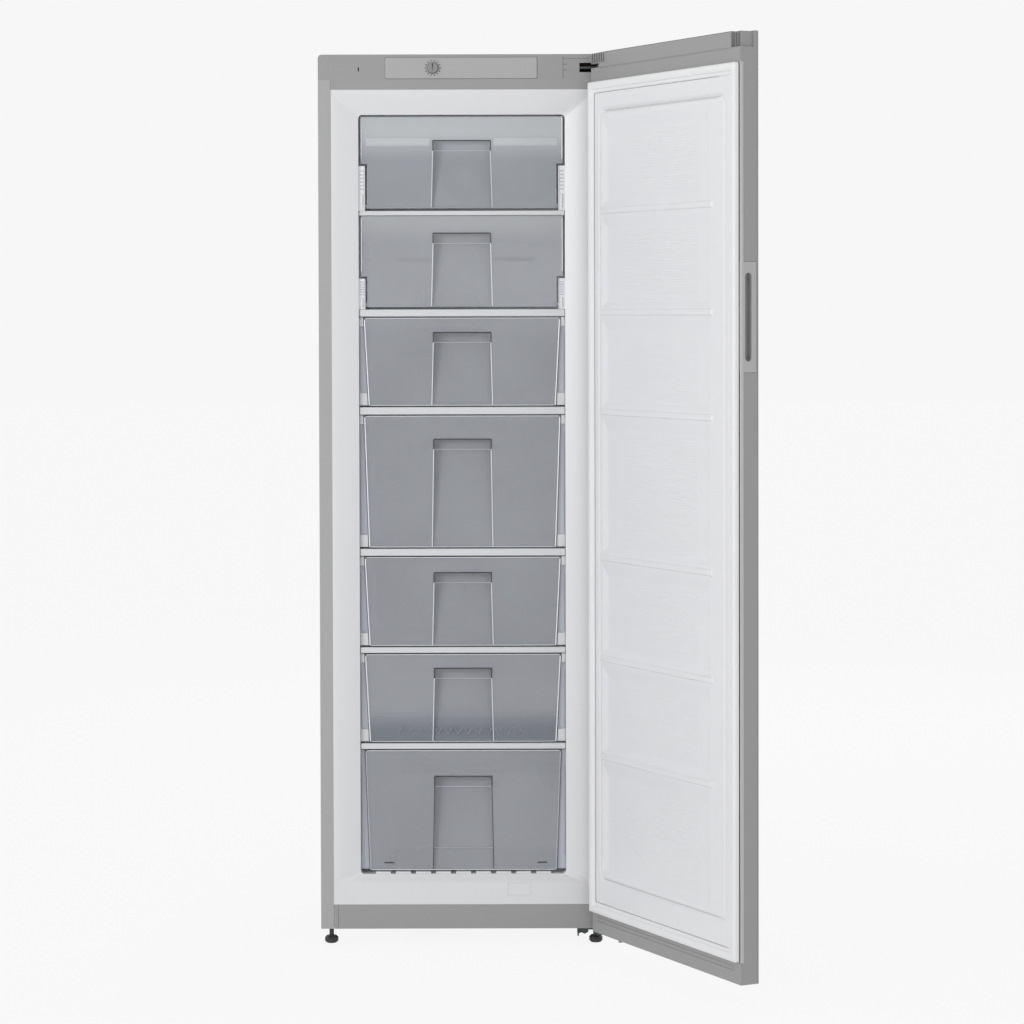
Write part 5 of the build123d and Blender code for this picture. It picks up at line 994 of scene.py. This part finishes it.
# The groove is a black bead, a painted shade round the knob.
turns = [2 * pi * k / GROOVE_STEPS for k in range(GROOVE_STEPS)]
around_knob = [(KNOB_X + GROOVE_R * cos(turn), KNOB_Z + GROOVE_R * sin(turn)) for turn in turns]
fine_line("dial_groove_shade", PANEL_FACE, [around_knob], 0.7, black_plastic, "cabinet", "black_plastic", True)
pointer = [(KNOB_X, KNOB_Z + 1.5), (KNOB_X, KNOB_Z + 9.5)]
fine_line("knob_pointer", KNOB_FACE, [pointer], 0.8, black_plastic, "knob", "black_plastic")

# %% [markdown]
# ## Seams, ticks and small plates of the front
# Where two parts of the front meet, the real seam is a hair-thin dark line, and moulded ticks and windows show the
# same way. Each is a bead that lies half in the surface. The hinge's web and the rivets are small solids.

# %% Seam of the panel, ticks of the hinge cover, window in the flange
FRONT_Y = -282.6                    # just in front of the carcass
TICK_X = 211.3
panel_edge = rounded_loop(157.7, 1804.9, 1848.6, 1.6)
fine_line("panel_seam", FRONT_Y, [panel_edge], 0.55, shade_paint, "cabinet", "grey_plastic", True)
ticks = [[(TICK_X + 0.2, z), (TICK_X + 8.7, z)] for z in (1833.9, 1821.8)]
ticks.append([(TICK_X, 1804.0), (TICK_X, 1851.0)])
fine_line("hinge_cover_ticks", FRONT_Y, ticks, 0.65, seam_and_shade_paint, "cabinet", "grey_plastic")
window = [(117.0 + x, z) for x, z in rounded_loop(24.0, 103.0, 128.0, 2.0)]
fine_line("flange_window", FRONT_Y, [window], 0.55, trim_white, "cabinet", "white_liner", True)

# %% Web of the lower hinge
WEB = [(240.5, 32.0), (240.5, 20.5), (247.0, 22.5), (253.0, 19.5), (261.0, 23.5), (261.0, 32.0)]
finished(prism("lower_hinge_web", WEB, -274.0, -272.0), zinc, "cabinet", "zinc_steel")

# %% Slots and line of the lowest drawer
DRAWER_FACE = -259.3
slots = [[(x - 10, 167.6), (x + 10, 167.6)] for x in (-156, 165)]
fine_line("drawer_5_slots", DRAWER_FACE + 0.1, slots, 1.5, shade_plastic, "drawer_5", "clear_front")
fine_line("drawer_5_line", DRAWER_FACE, [[(-62, 199.0), (62, 199.0)]], 0.5, rim_shade, "drawer_5", "clear_front")

# %% Seams of the posts and of the blank cover
seams = [[(-271.7, 1782.0), (-271.7, 1803.0)], [(-261.4, 33.5), (-261.4, 83.5)]]
fine_line("front_seams", FRONT_Y, seams, 0.45, seam_and_shade_paint, "cabinet", "grey_steel")
cover_seam = [(-242.0 + x, z) for x, z in rounded_loop(30.6, 1802.9, 1845.6, 1.0)]
fine_line("cover_seam_filler", FRONT_Y + 0.9, [cover_seam], 0.8, grey_plastic, "cabinet", "grey_plastic", True)

# %% Scallops along the foot of drawer 4
SCALLOP_FOOT, SCALLOP_TALL, SCALLOP_WIDE, SCALLOP_HALF, SCALLOP_STEP = 437, 14, 21, 136.5, 1.75
waves = [(x, SCALLOP_FOOT + SCALLOP_TALL * abs(cos(pi * x / SCALLOP_WIDE)))
         for x in np.arange(-SCALLOP_HALF, SCALLOP_HALF + 0.5, SCALLOP_STEP)]
fine_line("drawer_4_wave", DRAWER_FACE - 0.1, [waves], 0.8, wave_shade, "drawer_4", "clear_front")

# %% Rivets of the kick plate
RIVETS_AT = [(-268.5, FRONT_Y, 55), (-249, FRONT_Y, 52), (265, FRONT_Y, 49)]
rivets = grow("kick_plate_rivets", HEADS, points=RIVETS_AT, Radius=2.2, Squash=(1.0, 0.4, 1.0),
              Material=painted_steel)
finished(rivets, painted_steel, "cabinet", "grey_steel")

# %% [markdown]
# ## The condenser
# Behind the cabinet hangs a black serpentine tube with upright wires welded to both of its faces. The wires stand
# only about 8 mm apart on the real coil. One row tree makes them all, and the tube is a round line along its path.

# %% Condenser tube and wires
COIL_HALF, COIL_LOW, COIL_PITCH, COIL_PASSES, COIL_Y, COIL_R = 197.5, 360.0, 75.0, 17, 299.5, 2.5
WIRE_R, WIRES, WIRE_OVER, WELD_DEEP, BEND_STEPS = 0.8, 51, 13, 0.3, 10
coil_path = []
for turn in range(COIL_PASSES):
    z, side = COIL_LOW + turn * COIL_PITCH, 1 if turn % 2 == 0 else -1
    coil_path += [(-side * COIL_HALF, z), (side * COIL_HALF, z)]
    if turn < COIL_PASSES - 1:
        coil_path += [(side * (COIL_HALF + COIL_PITCH / 2 * sin(pi * step / BEND_STEPS)),
                       z + COIL_PITCH / 2 * (1 - cos(pi * step / BEND_STEPS))) for step in range(1, BEND_STEPS)]
finished(bead("condenser_tube", COIL_Y, [coil_path], COIL_R), black_enamel, "cabinet", "black_steel", "condenser")
wire_low, wire_high = COIL_LOW - WIRE_OVER, COIL_LOW + (COIL_PASSES - 1) * COIL_PITCH + WIRE_OVER
wire_rows = []
for face in (-1, 1):
    wire_y = COIL_Y + face * (COIL_R + WIRE_R - WELD_DEEP)
    wire_rows.append(grow("wire_row", ROW, Count=WIRES, Start=(-COIL_HALF, wire_y, (wire_low + wire_high) / 2),
                          Step=(2 * COIL_HALF / (WIRES - 1), 0.0, 0.0), Reach=(0.0, 0.0, (wire_high - wire_low) / 2),
                          Thick=WIRE_R, Material=black_enamel))
finished(join("condenser_wires", wire_rows), black_enamel, "cabinet", "black_steel")

# %% [markdown]
# ## Lining of the machine bay
# The foam of the walls never shows on the real object, since the bay is lined with thin sheet and the seams at the
# back are covered. Thin plates take that part: two sides, a wall, a ceiling, and strips over the seams.

# %% Bay lining and seam covers
BAY_X, BAY_WALL, BAY_BACK, BAY_FLOOR, BAY_CEILING, PLATE = 278.7, 77.5, 281.0, 84.0, 268.0, 0.8
PLATE_EDGE = 0.1
COVER_Y = (281.75, 282.35)
CORNER_COVER = [(286, 1848), (296.2, 1848), (295.5, 1850.5), (293.2, 1852.8), (290.5, 1853.7), (286, 1853.8)]
lining = [plate("sheet", -BAY_X, BAY_X, BAY_FLOOR, BAY_CEILING, BAY_WALL, BAY_WALL + PLATE, PLATE_EDGE),
          plate("sheet", -BAY_X, BAY_X, BAY_CEILING - PLATE, BAY_CEILING, BAY_WALL, BAY_BACK, PLATE_EDGE)]
covers = [plate("sheet", -286, 286, 1853.0, 1854.3, *COVER_Y, PLATE_EDGE)]
for side in (-1, 1):
    wall_x, cover_x = sorted((side * BAY_X, side * (BAY_X - PLATE))), sorted((side * 277.9, side * 287.0))
    lining.append(plate("sheet", *wall_x, BAY_FLOOR, BAY_CEILING, BAY_WALL, BAY_BACK, PLATE_EDGE))
    covers.append(plate("sheet", *cover_x, BAY_FLOOR, BAY_CEILING, *COVER_Y, PLATE_EDGE))
    covers.append(prism("corner", [(side * x, z) for x, z in CORNER_COVER], *COVER_Y, PLATE_EDGE))
finished(join("bay_lining", lining), bright_zinc, "cabinet", "zinc_steel")
finished(join("back_seam_covers", covers), painted_steel, "cabinet", "grey_steel")

# %% [markdown]
# ## What is left
# The remaining nodes are closed in by others: the foam, the thermostat body and the screws. They keep the model's
# own mesh and get their finish, so that an opened or moved piece never shows a bare surface behind it.

# %% Finish on the nodes that stay
for name in nodes:
    if not nodes[name].hide_render:
        paint(nodes[name], own_finish(name))
print("kept as they are:", [name for name in nodes if not nodes[name].hide_render])

# %% [markdown]
# ## Studio
# The surround is pale and even, as behind a product picture. The floor is a real pale surface that takes the
# object's shadow, and the camera sees it lightened towards the surround. Two large soft lamps stand in front, and
# a third shows the back.

# %% Floor and surround
FLOOR_HALF = 40.0
SURROUND = (0.93, 0.93, 0.93, 1)
SEEN_FLOOR = (0.957, 0.957, 0.957, 1)
LIGHTEN = 0.94              # how far the seen floor is pulled to the surround
AMBIENT = 0.60


def seen_directly(tree):
    """A mask that is 1 for camera, glossy and transmission rays."""
    ray = node(tree, "ShaderNodeLightPath").outputs
    either = reckon(tree, "MAXIMUM", ray["Is Camera Ray"], ray["Is Glossy Ray"])
    return reckon(tree, "MAXIMUM", either, ray["Is Transmission Ray"])


def floor_material():
    material = bpy.data.materials.new("studio_floor")
    material.use_nodes = True
    tree = material.node_tree
    shader = tree.nodes["Principled BSDF"]
    shader.inputs["Base Color"].default_value = (0.86, 0.86, 0.86, 1)
    shader.inputs["Roughness"].default_value = 0.8
    glow = node(tree, "ShaderNodeEmission", Color=SEEN_FLOOR)
    mix = node(tree, "ShaderNodeMixShader")
    tree.links.new(reckon(tree, "MULTIPLY", seen_directly(tree), LIGHTEN), mix.inputs[0])
    wire(tree, (shader, 0, mix, 1), (glow, 0, mix, 2))
    tree.links.new(mix.outputs[0], tree.nodes["Material Output"].inputs["Surface"])
    return material


floor_mesh = bpy.data.meshes.new("studio_floor")
corners = [(FLOOR_HALF * x, FLOOR_HALF * y, 0) for x, y in ((-1, -1), (1, -1), (1, 1), (-1, 1))]
floor_mesh.from_pydata(corners, [], [(0, 1, 2, 3)])
floor = new_piece("studio_floor", floor_mesh)
paint(floor, floor_material())

world = bpy.data.worlds.new("surround")
world.use_nodes = True
scene.world = world
tree = world.node_tree
around = tree.nodes["Background"]
around.inputs["Color"].default_value = (1, 1, 1, 1)
around.inputs["Strength"].default_value = AMBIENT
seen = node(tree, "ShaderNodeBackground", Color=SURROUND)
seen.inputs["Strength"].default_value = 1.0
mix = node(tree, "ShaderNodeMixShader")
tree.links.new(seen_directly(tree), mix.inputs[0])
wire(tree, (around, 0, mix, 1), (seen, 0, mix, 2))
tree.links.new(mix.outputs[0], tree.nodes["World Output"].inputs["Surface"])


# %% Lamps
LAMP_SIZE = 2.6


def soft_lamp(name, at, aim, power):
    data = bpy.data.lights.new(name, "AREA")
    data.shape = "SQUARE"
    data.size = LAMP_SIZE
    data.energy = power
    lamp = bpy.data.objects.new(name, data)
    lamp.location = at
    lamp.rotation_euler = (Vector(aim) - Vector(at)).to_track_quat("-Z", "Y").to_euler()
    scene.collection.objects.link(lamp)


FRONT_AIM = (0.1, 0.0, 0.9)
soft_lamp("key", (-3.6, -4.4, 2.2), FRONT_AIM, 108.0)
soft_lamp("fill", (2.8, -5.0, 1.8), FRONT_AIM, 22.0)
soft_lamp("back", (1.5, 4.0, 3.2), (0.0, 0.2, 1.0), 60.0)
